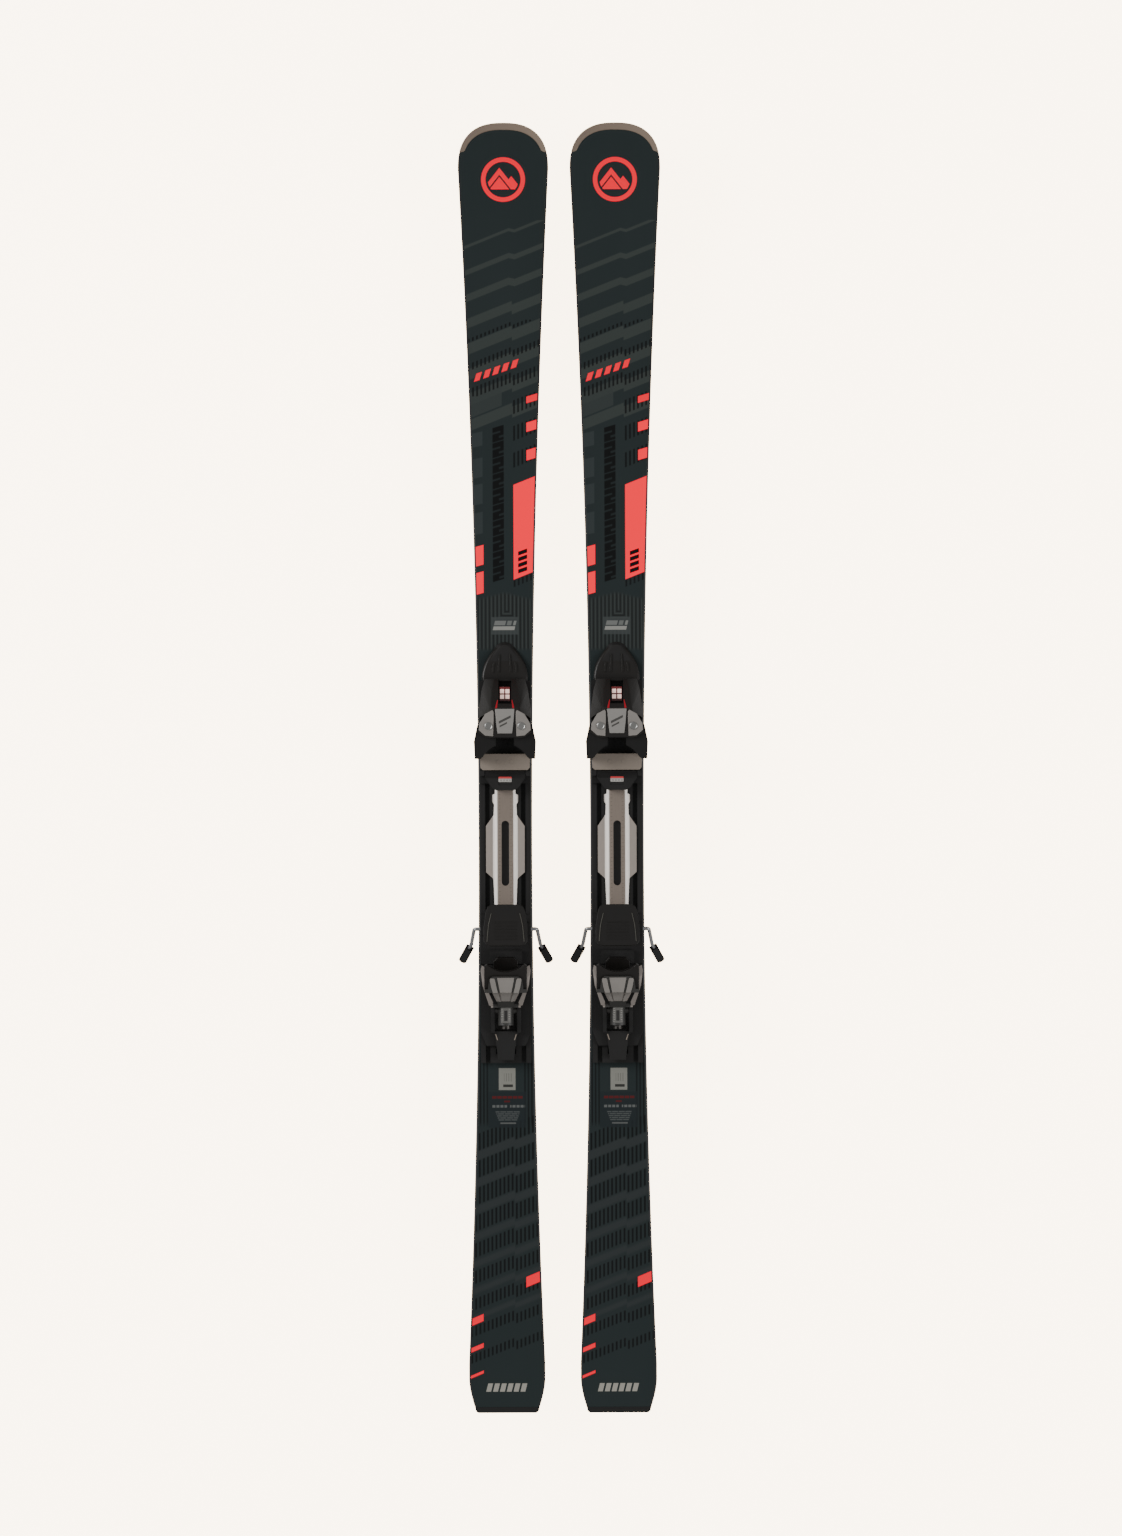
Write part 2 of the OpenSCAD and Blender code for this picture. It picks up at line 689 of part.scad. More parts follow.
module heel_carriage() {
    y = [heel_y - 104, heel_y + 5];
    color([0.06, 0.06, 0.06]) difference() {
        union() {
            plan_prism([[y[1], 34], [y[0] + 20, 34], [y[0], 26]], [plate_z, floor_z]);
            t_slots([y[0] + 1, y[1] - 1], slide_gap);
            both_sides() {
                side_block(cheek_x, [pivot_y - 12, pivot_y + 12], [floor_z, pivot_z]);
                cross_bar(cheek_x, pivot_y, pivot_z, 12);
            }
        }
        cross_bar([-40, 40], pivot_y, pivot_z, heel_pin_r + pin_gap);
        block(40, [pivot_y - 20, pivot_y + 20], [0, plate_z + slide_gap - plate_t]);
    }
}

module heel_pin() {
    color([0.7, 0.7, 0.7]) cross_bar([-28.5, 28.5], pivot_y, pivot_z, heel_pin_r);
}

// Roof of the cup over the boot's heel lug, and the shell's hood over that roof
roof_z = [sole_z + heel_lug + 1, sole_z + heel_lug + 7];
hood_t = 3;
shell_back = heel_y - 52;
shell_low = heel_barrel_z + 13;

// The swinging frame: an eye on the pin, a spring barrel, a hooded back plate behind the cup and
// two blades that sweep out beside it
module heel_housing() {
    front = heel_y + 6;
    tail_y = heel_y - 50;
    color([0.62, 0.59, 0.57]) difference() {
        union() {
            cross_bar([-22, 22], pivot_y, pivot_z, 8.5);
            long_bar(heel_barrel_y, heel_barrel_z, barrel_r);
            about_pivot(heel_open_angle) {
                block(21.5, [cup_wall[0] - 5, cup_wall[0]], [sole_z - 6, roof_z[1] + hood_t]);
                block(28, [cup_wall[0] - 5, cup_wall[0]], [sole_z + 8, roof_z[1] + hood_t]);
                plan_prism([[front, 17], [front - 4, 22], [cup_wall[0] - 2, 24]],
                    [roof_z[1], roof_z[1] + hood_t]);
            }
            intersection() {
                plan_prism([[heel_y - 14, 19], [heel_y - 26, 21], [heel_y - 46, 11], [shell_back, 10]], [0, 200]);
                cross_prism([-30, 30], [[heel_y - 24, pivot_z + 8], [heel_y - 14, roof_z[0]],
                    [heel_y - 26, roof_z[1] - 1], [heel_y - 33, roof_z[1] - 4], [shell_back, shell_low],
                    [shell_back, heel_barrel_z + 4]]);
            }
            both_sides() {
                intersection() {
                    translate([0, heel_y, 0]) linear_extrude(200) polygon([[28.5, 3], [32, 5], [33.5, -2],
                        [31, -22], [22.5, -49], [18.5, -50], [17, -45], [27, -22], [20, -24], [20, -17], [28.5, -14]]);
                    cross_prism([0, 40], [[heel_y + 6, roof_z[1] + 2], [heel_y + 6, roof_z[0] + 3],
                        [heel_y - 14, sole_z + 18], [heel_y - 30, shell_low - 2], [tail_y, shell_low - 9],
                        [tail_y, shell_low + 1], [heel_y - 30, shell_low + 22], [heel_y - 12, roof_z[1] + 4]]);
                }
                side_block([9, 20], [shell_back, shell_back + 5], [shell_low - 6, shell_low]);
                cross_bar([9, 14.7], fork_y, fork_z, 5);
                cross_bar([9, 20], fork_y, fork_z, fork_r - pin_gap);
            }
        }
        about_pivot(heel_open_angle) block(28 + slide_gap, [cup_wall[0], heel_y + 40], [sole_z - 7, roof_z[1]]);
        long_bar([heel_barrel_y[0] - 1, heel_barrel_y[1] - 4], heel_barrel_z, heel_bore_r);
        cross_bar([-40, 40], pivot_y, pivot_z, heel_pin_r + pin_gap);
    }
}

// The cup that holds the boot's heel lug down, with the tongue that the boot steps on
module heel_cup() {
    tongue = [sole_z - 7, sole_z - 1.5];
    color([0.05, 0.05, 0.05]) about_pivot(heel_open_angle) difference() {
        union() {
            block(28, cup_wall, [sole_z + 2, roof_z[1]]);
            plan_prism([[heel_y + 22, 24], [heel_y + 20, 28], [cup_wall[0], 28]], [roof_z[0] - 3, roof_z[1]]);
            plan_prism([[heel_y + 18, 11], [heel_y + 13, 16], [cup_wall[0], 17]], tongue);
            block(14, cup_wall, [tongue[0], sole_z + 3]);
        }
        translate([0, heel_y + 36, tongue[1]]) cylinder(h = roof_z[0] - tongue[1], r = 36);
        translate([0, heel_y + 45, roof_z[0] - 1]) cylinder(h = 20, r = 34);
    }
}

module heel_spring() {
    color([0.7, 0.7, 0.7])
        spring([heel_barrel_y[0] + 8, heel_barrel_y[1] - 5], heel_barrel_z, heel_bore_r - 0.5, 1.6, 7);
}

module heel_setting_screw() {
    color([0.75, 0.75, 0.75]) translate([0, 0, heel_barrel_z])
        setting_screw(heel_barrel_y[0] + 7, -1, heel_bore_r - pin_gap);
}

module heel_lever() {
    tail = heel_y - 123;
    color([0.05, 0.05, 0.05]) difference() {
        union() {
            both_sides() cross_prism([15, 20], [
                [fork_y + 7, fork_z + 5], [fork_y + 7, fork_z - 6], [fork_y - 30, floor_z + 1.5],
                [fork_y - 30, floor_z + 12], [fork_y - 4, fork_z + 6]]);
            plan_prism([[fork_y - 28, 20], [fork_y - 34, 14.5], [tail, 10.5]], [floor_z + 1.5, floor_z + 8]);
        }
        cross_bar([-40, 40], fork_y, fork_z, fork_r);
    }
}

// ---------------------------------------------------------------- the pair

function wanted(side, part) = node == "all" || node == str(SIDES[side], "_", part);

for (side = [0, 1]) translate([(side - 0.5) * ski_spacing, 0, ski_lift]) {
    if (wanted(side, "running_base")) running_base();
    if (wanted(side, "steel_edges")) steel_edges();
    if (wanted(side, "sidewalls")) sidewalls();
    if (wanted(side, "wood_core")) wood_core();
    if (wanted(side, "top_sheet")) top_sheet();
    if (wanted(side, "tip_guard")) tip_guard();
    if (wanted(side, "tail_guard")) tail_guard();
    if (wanted(side, "binding_track")) binding_track();
    if (wanted(side, "track_screws")) track_screws();
    if (wanted(side, "size_band")) size_band();
    if (wanted(side, "toe_base")) toe_base();
    if (wanted(side, "toe_cover")) toe_cover();
    if (wanted(side, "toe_wing_l")) mirror([1, 0, 0]) toe_wing();
    if (wanted(side, "toe_wing_r")) toe_wing();
    if (wanted(side, "toe_wing_pins")) toe_wing_pins();
    if (wanted(side, "toe_spring")) toe_spring();
    if (wanted(side, "toe_setting_screw")) toe_setting_screw();
    if (wanted(side, "glide_plate")) glide_plate();
    if (wanted(side, "size_lever")) size_lever();
    if (wanted(side, "heel_carriage")) heel_carriage();
    if (wanted(side, "heel_pin")) heel_pin();
    if (wanted(side, "heel_housing")) heel_housing();
    if (wanted(side, "heel_cup")) heel_cup();
    if (wanted(side, "heel_spring")) heel_spring();
    if (wanted(side, "heel_setting_screw")) heel_setting_screw();
    if (wanted(side, "heel_lever")) heel_lever();
    if (wanted(side, "brake_bracket")) brake_bracket();
    if (wanted(side, "brake_wire")) brake_wire();
    if (wanted(side, "brake_tips")) brake_tips();
    if (wanted(side, "brake_pedal")) brake_pedal();
}
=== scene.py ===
import math

import bmesh
import bpy
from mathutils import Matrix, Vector


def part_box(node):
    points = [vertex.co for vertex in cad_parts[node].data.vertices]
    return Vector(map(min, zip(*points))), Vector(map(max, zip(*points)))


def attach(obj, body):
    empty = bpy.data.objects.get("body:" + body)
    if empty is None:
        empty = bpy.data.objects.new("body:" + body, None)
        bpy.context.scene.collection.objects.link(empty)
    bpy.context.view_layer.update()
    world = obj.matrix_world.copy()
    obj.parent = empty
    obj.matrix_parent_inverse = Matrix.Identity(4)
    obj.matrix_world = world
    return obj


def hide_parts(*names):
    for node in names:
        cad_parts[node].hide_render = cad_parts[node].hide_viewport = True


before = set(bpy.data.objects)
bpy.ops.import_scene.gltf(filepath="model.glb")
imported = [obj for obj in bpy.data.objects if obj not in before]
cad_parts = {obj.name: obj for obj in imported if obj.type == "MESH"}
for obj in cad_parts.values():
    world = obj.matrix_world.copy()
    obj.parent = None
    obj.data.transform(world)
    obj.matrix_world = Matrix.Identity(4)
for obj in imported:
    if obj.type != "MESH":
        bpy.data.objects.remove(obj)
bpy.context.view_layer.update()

# ---------------------------------------------------------------- sizes, in millimetres on one ski

MM = 0.001
SIDES = ("left", "right")
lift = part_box("left_running_base")[0].z
centre = {side: (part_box(side + "_tip_guard")[0].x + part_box(side + "_tip_guard")[1].x) / 2 for side in SIDES}


def span(node):
    """Lowest and highest corner of a node of the left ski, in millimetres from its middle and its base."""
    shift_back = Vector((centre["left"], 0, lift))
    return [(corner - shift_back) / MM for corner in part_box("left_" + node)]


# Read from the frame. Toe and heel are the places along the ski where the boot's sole ends
half_length, tip_half = span("tip_guard")[1].y, span("tip_guard")[1].x
nose, track_end = span("binding_track")[1].y, span("binding_track")[0].y
toe = span("glide_plate")[1].y + 20
heel = span("brake_bracket")[0].y - 6
deck = span("binding_track")[0].z
rail = span("size_band")[0].z
roof = span("toe_cover")[1].z
stand = span("glide_plate")[1].z

# The ski's outline and arch, which no box gives
tip_round, guard_side, guard_front = 61, 6.5, 9.75
tail_half_width, waist_half, sidecut = 51.25, 36, 1.95
tail_corner, tail_narrower, tail_taper = 6, 10.5, 45
tip_rise, tip_curve = 55, 265
tail_rise, tail_curve = 12, 105
camber, thickness, thinner_tip, thinner_tail = 3, 15, 8.5, 7.5
shovel, guard_start = half_length - tip_round, half_length - 39
tail_wide, tail_face = 66 - half_length, 8 - half_length
waist, rocker, heel_touch = -110, half_length - tip_curve, tail_curve - half_length

# Inside the binding's pieces: the toe carriage's floor and barrel, the heel's pin and barrel, and how
# many degrees the open heel leans back
toe_floor, toe_barrel = 31.3, 55.3
heel_pin_back, heel_pin_height, heel_barrel = 20, 40.3, 56.6
open_lean = 18


def ease(t):
    """A soft step from 0 to 1."""
    t = min(1, max(0, t))
    return t * t * (3 - 2 * t)


def tail_half(y):
    """Half the tail's width: a taper with rounded corners."""
    d = y + half_length
    if d < tail_corner:
        drop = math.sqrt(max(0, tail_corner ** 2 - (tail_corner - d) ** 2))
        return tail_half(tail_corner - half_length) - tail_corner + drop
    return tail_half_width - tail_narrower * max(0, 1 - d / tail_taper) ** 1.6


def ski_half(y):
    """Half the ski's width at y, steel edges included."""
    if y > shovel:
        return tip_half * max(0, 1 - ((y - shovel) / tip_round) ** 2.5) ** 0.4
    if y < tail_wide:
        return tail_half(y)
    end, reach = (tip_half, shovel - waist) if y > waist else (tail_half_width, waist - tail_wide)
    return waist_half + (end - waist_half) * (abs(y - waist) / reach) ** sidecut


def sole_line(y):
    """Height of the running surface."""
    if y > rocker:
        return tip_rise * ((y - rocker) / tip_curve) ** 2.2
    if y < heel_touch:
        return tail_rise * ((heel_touch - y) / tail_curve) ** 2
    if y > nose:
        return camber * (1 - ease((y - nose) / (rocker - nose)))
    if y < track_end:
        return camber * (1 - ease((track_end - y) / (track_end - heel_touch)))
    return camber


def deck_line(y):
    """Height of the top sheet."""
    thick = thickness
    if y > nose:
        thick = thickness - thinner_tip * ease((y - nose) / (rocker - nose))
    elif y < track_end:
        thick = thickness - thinner_tail * ease((track_end - y) / (track_end - heel_touch))
    return sole_line(y) + thick


def rows(first, last, count):
    """Evenly spaced places from first up to, but not with, last."""
    return [first + (last - first) * i / count for i in range(count)]


def rim(half, length):
    """Points of the shovel's outline from the start of the tip guard round to the tip."""
    count, first, last = 22, math.asin(((guard_start - shovel) / length) ** 1.25), math.radians(88)
    turns = [first + (last - first) * i / count for i in range(count + 1)]
    return [(half * math.cos(a) ** 0.8, shovel + length * math.sin(a) ** 0.8) for a in turns]


ski_rows = (rows(tail_face, tail_wide, 16) + rows(tail_wide, track_end, 18) + rows(track_end, nose, 14)
            + rows(nose, rocker, 20) + rows(rocker, shovel, 20) + rows(shovel, guard_start, 6)
            + [guard_start])
inner_rim = rim(tip_half - guard_side, tip_round - guard_front)
outer_rim = rim(tip_half, tip_round)

# ---------------------------------------------------------------- the modelling bench


def at(x, y, z):
    """A place on the bench, in metres."""
    return Vector((x * MM, y * MM, lift + z * MM))


def lone(piece):
    """Leaves edit mode and selects this piece only."""
    if bpy.context.mode != "OBJECT":
        bpy.ops.object.mode_set(mode="OBJECT")
    bpy.ops.object.select_all(action="DESELECT")
    piece.select_set(True)
    bpy.context.view_layer.objects.active = piece


def start(kind, name, place, **settings):
    """Adds a primitive at its place and opens it for modelling."""
    if bpy.context.mode != "OBJECT":
        bpy.ops.object.mode_set(mode="OBJECT")
    bpy.ops.object.select_all(action="DESELECT")
    getattr(bpy.ops.mesh, f"primitive_{kind}_add")(location=at(*place), **settings)
    piece = bpy.context.object
    piece.name = piece.data.name = name
    bpy.ops.object.transform_apply(location=True, rotation=True, scale=True)
    bpy.ops.object.mode_set(mode="EDIT")
    return piece


def pick(piece, test, kind="FACE"):
    """Selects what passes test(spot, way): way is a normal, or an edge's direction."""
    bpy.ops.mesh.select_mode(type=kind)
    bpy.ops.mesh.select_all(action="DESELECT")
    shape = bmesh.from_edit_mesh(piece.data)
    shape.normal_update()
    for part in {"FACE": shape.faces, "EDGE": shape.edges, "VERT": shape.verts}[kind]:
        corners = [part] if kind == "VERT" else part.verts
        spot = sum((corner.co for corner in corners), Vector()) / len(corners)
        spot = Vector((spot.x, spot.y, spot.z - lift)) / MM
        way = (part.verts[1].co - part.verts[0].co).normalized() if kind == "EDGE" else part.normal
        if test(spot, way):
            part.select_set(True)
    shape.select_flush_mode()
    bmesh.update_edit_mesh(piece.data)


def everything():
    bpy.ops.mesh.select_mode(type="FACE")
    bpy.ops.mesh.select_all(action="SELECT")


def pull(x=0, y=0, z=0):
    bpy.ops.mesh.extrude_region_move(TRANSFORM_OT_translate={"value": (x * MM, y * MM, z * MM)})


def move(x=0, y=0, z=0):
    bpy.ops.transform.translate(value=(x * MM, y * MM, z * MM))


def stretch(about, x=1, y=1, z=1):
    bpy.ops.transform.resize(value=(x, y, z), center_override=at(*about))


def turn(about, angle):
    """Turns what is selected in plan, to the left."""
    bpy.ops.transform.rotate(value=-angle, orient_axis="Z", center_override=at(*about))


def inset(width):
    bpy.ops.mesh.inset(thickness=width * MM, depth=0)


def chamfer(width, steps):
    bpy.ops.mesh.bevel(offset=width * MM, offset_type="OFFSET", segments=steps, affect="EDGES")


def outwards():
    """Makes all faces look outwards."""
    everything()
    bpy.ops.mesh.normals_make_consistent(inside=False)


def with_modifier(piece, kind, **settings):
    """Adds a modifier and applies it."""
    lone(piece)
    added = piece.modifiers.new(kind.lower(), kind)
    for key, value in settings.items():
        setattr(added, key, value)
    bpy.ops.object.modifier_apply(modifier=added.name)


def mirrored(piece):
    """Makes the other half, across the ski's middle."""
    with_modifier(piece, "MIRROR", merge_threshold=0.00002)
    bpy.ops.object.mode_set(mode="EDIT")
    outwards()


def softened(piece, width, steps=2, angle=32, smooth=34):
    """Rounds the sharp edges and smooths the rest."""
    with_modifier(piece, "BEVEL", width=width * MM, segments=steps, limit_method="ANGLE",
                  angle_limit=math.radians(angle), harden_normals=False)
    lone(piece)
    bpy.ops.object.shade_smooth_by_angle(angle=math.radians(smooth))
    with_modifier(piece, "WEIGHTED_NORMAL", keep_sharp=True, weight=60)
    return piece


def strip(name, ends, z=0, thick=1):
    """A flat strip through pairs of plan points: each next pair is the last edge pulled on.

    The whole strip is then pulled up by its thickness.
    """
    def lie(pair):
        """Middle, width and angle of the line between two points."""
        (ax, ay), (bx, by) = pair
        middle = Vector(((ax + bx) / 2, (ay + by) / 2))
        return middle, math.hypot(bx - ax, by - ay), math.atan2(by - ay, bx - ax)

    middle, width, angle = lie(ends[0])
    ahead = Vector((-math.sin(angle), math.cos(angle))) * width / 2
    piece = start("plane", name, (*(middle + ahead), z), size=width * MM, rotation=(0, 0, angle))
    middle = middle + 2 * ahead
    pick(piece, lambda p, way: (p.xy - middle).length < 0.01, "EDGE")
    for number, pair in enumerate(ends[1:]):
        there, new_width, new_angle = lie(pair)
        (pull if number else move)(x=there.x - middle.x, y=there.y - middle.y)
        swing = (new_angle - angle + math.pi) % (2 * math.pi) - math.pi
        if abs(swing) > 1e-6:
            turn((*there, z), swing)
        if abs(new_width / width - 1) > 1e-6:
            stretch((*there, z), x=new_width / width, y=new_width / width)
        middle, width, angle = there, new_width, new_angle
    everything()
    pull(z=thick)
    outwards()
    return piece


def ribbon(name, lines, z=0, thick=1):
    """A strip whose lines lie square across the ski: each is (y, left, right)."""
    return strip(name, [((left, y), (right, y)) for y, left, right in lines], z, thick)


def plate(name, outline, z=0, thick=1):
    """A ribbon that is the same on both sides of the middle: each line is (y, half width)."""
    return ribbon(name, [(y, -half, half) for y, half in outline], z, thick)


def loft(name, sections):
    """A body grown along the ski: each section is (y, left, right, low, high)."""
    y, left, right, low, high = sections[0]
    middle = ((left + right) / 2, y, (low + high) / 2)
    piece = start("plane", name, middle, size=MM, rotation=(math.pi / 2, 0, 0))
    everything()
    stretch(middle, x=right - left, z=high - low)
    for y2, left2, right2, low2, high2 in sections[1:]:
        middle = ((left2 + right2) / 2, y2, (low2 + high2) / 2)
        pull(middle[0] - (left + right) / 2, y2 - y, middle[2] - (low + high) / 2)
        stretch(middle, x=(right2 - left2) / (right - left), z=(high2 - low2) / (high - low))
        y, left, right, low, high = y2, left2, right2, low2, high2
    outwards()
    return piece


def follow(piece, rule):
    """Raises each row of corners to the height that rule(y, z) gives, the highest rows first."""
    shape = bmesh.from_edit_mesh(piece.data)
    found = {(round(v.co.y / MM, 2), round((v.co.z - lift) / MM, 2)) for v in shape.verts}
    near = 0.008
    for y, z in sorted(found, key=lambda row: -row[1]):
        pick(piece, lambda p, way: abs(p.y - y) < near and abs(p.z - z) < near, "VERT")
        move(z=rule(y, z) - z)


def refined(node, width, steps=2):
    """A copy of a CAD node of the left ski, brought to the middle, merged, with its edges rounded."""
    lone(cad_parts["left_" + node])
    bpy.ops.object.duplicate()
    piece = bpy.context.object
    for key in [key for key in piece.keys() if key.startswith("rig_")]:
        del piece[key]
    piece.parent = None
    piece.name = piece.data.name = node + "_copy"
    piece.data.materials.clear()
    bpy.ops.object.mode_set(mode="EDIT")
    everything()
    bpy.ops.mesh.remove_doubles(threshold=0.00001)
    bpy.ops.mesh.dissolve_limited(angle_limit=math.radians(1))
    bpy.ops.transform.translate(value=(-centre["left"], 0, 0))
    return softened(piece, width, steps)


def fitted(piece, finish, body, slot, *nodes):
    """Puts a copy on each ski: it rides on the body, has the finish, and stands for the nodes."""
    name = piece.name
    piece.name = name + "_pattern"
    for side in SIDES:
        lone(piece)
        bpy.ops.object.duplicate()
        copy = bpy.context.object
        copy.name = copy.data.name = f"{side}_{name}"
        bpy.ops.transform.translate(value=(centre[side], 0, 0))
        bpy.ops.object.transform_apply(location=True, rotation=True, scale=True)
        copy.data.materials.clear()
        copy.data.materials.append(finish)
        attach(copy, f"{side}_{body}")
        if nodes:
            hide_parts(*[f"{side}_{node}" for node in nodes])
    bpy.data.objects.remove(piece)


def reworked(node, width, steps, finish, body, slot):
    """Puts a rounded copy of a CAD node in the node's place."""
    fitted(refined(node, width, steps), finish, body, slot, node)


def repainted(finish, *nodes):
    """Gives CAD nodes that keep their shape a better finish."""
    for side in SIDES:
        for node in nodes:
            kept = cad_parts[f"{side}_{node}"]
            kept.data.materials.clear()
            kept.data.materials.append(finish)
            lone(kept)
            bpy.ops.object.shade_smooth_by_angle(angle=math.radians(34))


# ---------------------------------------------------------------- the paint shop


class Amount:
    """A number that varies over a surface. Sums on it add Math nodes."""

    def __init__(self, paint, socket):
        self.paint, self.socket = paint, socket

    def sum(self, operation, *values, clamp=False):
        settings = {"operation": operation, "use_clamp": clamp}
        return self.paint.node("ShaderNodeMath", settings, dict(enumerate(values)))

    def __add__(self, other):
        return self.sum("ADD", self, other)

    __radd__ = __add__

    def __sub__(self, other):
        return self.sum("SUBTRACT", self, other)

    def __rsub__(self, other):
        return self.sum("SUBTRACT", other, self)

    def __mul__(self, other):
        return self.sum("MULTIPLY", self, other)

    __rmul__ = __mul__

    def __truediv__(self, other):
        return self.sum("DIVIDE", self, other)

    def __mod__(self, other):
        return self.sum("FLOORED_MODULO", self, other)

    def __gt__(self, other):
        return self.sum("GREATER_THAN", self, other)

    def __lt__(self, other):
        return self.sum("LESS_THAN", self, other)

    def __abs__(self):
        return self.sum("ABSOLUTE", self)

    def sign(self):
        return self.sum("SIGN", self)

    def nearest(self):
        """The nearest whole number."""
        return self.sum("FLOOR", self + 0.5)

    def root(self):
        return self.sum("SQRT", self)

    def low(self, other):
        return self.sum("MINIMUM", self, other)

    def high(self, other):
        return self.sum("MAXIMUM", self, other)

    def held(self):
        """The number kept between 0 and 1."""
        return self.sum("ADD", self, 0, clamp=True)

    def within(self, half, soft=0.5):
        """1 where the number is between -half and half, with a soft step."""
        return self.sum("DIVIDE", half + soft / 2 - abs(self), soft, clamp=True)

    def between(self, low, high, soft=0.5):
        """1 between low and high, either of which may vary."""
        middle, half = (low + high) * 0.5, (high - low) * 0.5
        return (self - middle).within(half, soft)


class Paint:
    """A finish: a material whose colour, gloss and relief are worked out by nodes."""

    def __init__(self, name, colour, roughness, metallic=0.0, **fixed):
        self.material = bpy.data.materials.new(name)
        self.material.use_nodes = True
        self.tree = self.material.node_tree
        self.shader = self.tree.nodes["Principled BSDF"]
        self.shader.inputs["Base Color"].default_value = tint(colour)
        self.shader.inputs["Roughness"].default_value = roughness
        self.shader.inputs["Metallic"].default_value = metallic
        for key, value in fixed.items():
            self.shader.inputs[key.replace("_", " ")].default_value = value
        self.spot = self.node("ShaderNodeTexCoord", {}, {}, out="Object")
        self.x, self.y, self.z = [
            self.node("ShaderNodeSeparateXYZ", {}, {0: self.spot}, out=axis) * 1000 for axis in range(3)]

    def across(self):
        """Millimetres from the middle of the ski that the spot is on, to the wearer's right."""
        return self.x - centre["right"] / MM * self.x.sign()

    def node(self, kind, settings, values, out=0):
        """Adds a node and returns one of its outputs."""
        made = self.tree.nodes.new(kind)
        for key, value in settings.items():
            setattr(made, key, value)
        for key, value in values.items():
            if isinstance(value, Amount):
                self.tree.links.new(value.socket, made.inputs[key])
            else:
                made.inputs[key].default_value = value
        return Amount(self, made.outputs[out])

    def mix(self, mask, first, second):
        """The first colour where the mask is 0, the second where it is 1."""
        first, second = [c if isinstance(c, Amount) else tint(c) for c in (first, second)]
        return self.node("ShaderNodeMix", {"data_type": "RGBA"}, {0: mask, 6: first, 7: second}, out=2)

    def shaded(self, colour, factor):
        """A colour made lighter or darker."""
        colour = colour if isinstance(colour, Amount) else tint(colour)[:3]
        grey = self.node("ShaderNodeCombineXYZ", {}, {0: factor, 1: factor, 2: factor})
        return self.node("ShaderNodeVectorMath", {"operation": "MULTIPLY"}, {0: colour, 1: grey})

    def noise(self, scale, stretch=(1, 1, 1), detail=3.0):
        """Clouds of about 1/scale millimetres, stretched along an axis by a small factor there."""
        laid = self.node("ShaderNodeMapping", {}, {0: self.spot, 3: [1000 * s for s in stretch]})
        values = {"Vector": laid, "Scale": scale, "Detail": detail, "Roughness": 0.55}
        return self.node("ShaderNodeTexNoise", {}, values)

    def feed(self, **sockets):
        """Joins varying values to the shader's inputs."""
        for key, value in sockets.items():
            self.tree.links.new(value.socket, self.shader.inputs[key.replace("_", " ")])
        return self

    def relief(self, height, distance):
        """Raises the surface by height, which runs from 0 to 1, times distance in millimetres."""
        values = {"Strength": 1.0, "Distance": distance * MM, "Height": height}
        return self.feed(Normal=self.node("ShaderNodeBump", {}, values))

    def glows(self):
        """Turns the shader's emission on: its colour says where and how much."""
        self.shader.inputs["Emission Strength"].default_value = 1.0


# The studio's light is brighter than a full white, so colours are made darker by this much
STUDIO_LIGHT = 0.72
BRIGHT_RED = (0.95, 0.003, 0.024, 1.0)
RED_GLOW = (0.42, 0.0, 0.008, 1.0)
UNLIT = (0.0, 0.0, 0.0, 1.0)


def tint(colour):
    """Linear light for a colour given as three numbers from 0 to 255; four numbers are linear already."""
    if len(colour) == 4:
        return colour
    linear = [((c / 255 + 0.055) / 1.055) ** 2.4 if c > 10.3 else c / 255 / 12.92 for c in colour]
    return tuple(STUDIO_LIGHT * part for part in linear) + (1.0,)


def moulded(name, colour, roughness, grain=0.05, fleck=0.12, size=1.6, **fixed):
    """Moulded plastic: a fine pebbled grain, slight colour drift and uneven gloss."""
    p = Paint(name, colour, roughness, **{"Specular_IOR_Level": 0.3, **fixed})
    drift = p.noise(0.02, detail=4)
    pebble = p.noise(size, detail=2)
    p.feed(Base_Color=p.shaded(colour, 1 - fleck + 2 * fleck * drift),
           Roughness=roughness - 0.06 + 0.12 * p.noise(0.07, detail=5) + 0.04 * pebble)
    return p.relief(pebble, grain)


def brushed(name, colour, roughness, along, depth, metallic=1.0):
    """Metal with a fine grain, drawn out where along is small."""
    p = Paint(name, colour, roughness, metallic)
    lines = p.noise(2.2, along, detail=4)
    cloud = p.noise(0.03, detail=3)
    p.feed(Base_Color=p.shaded(colour, 0.9 + 0.1 * (lines + cloud)),
           Roughness=roughness - 0.07 + 0.16 * lines)
    return p.relief(lines, depth)


# ---------------------------------------------------------------- the printed top sheet


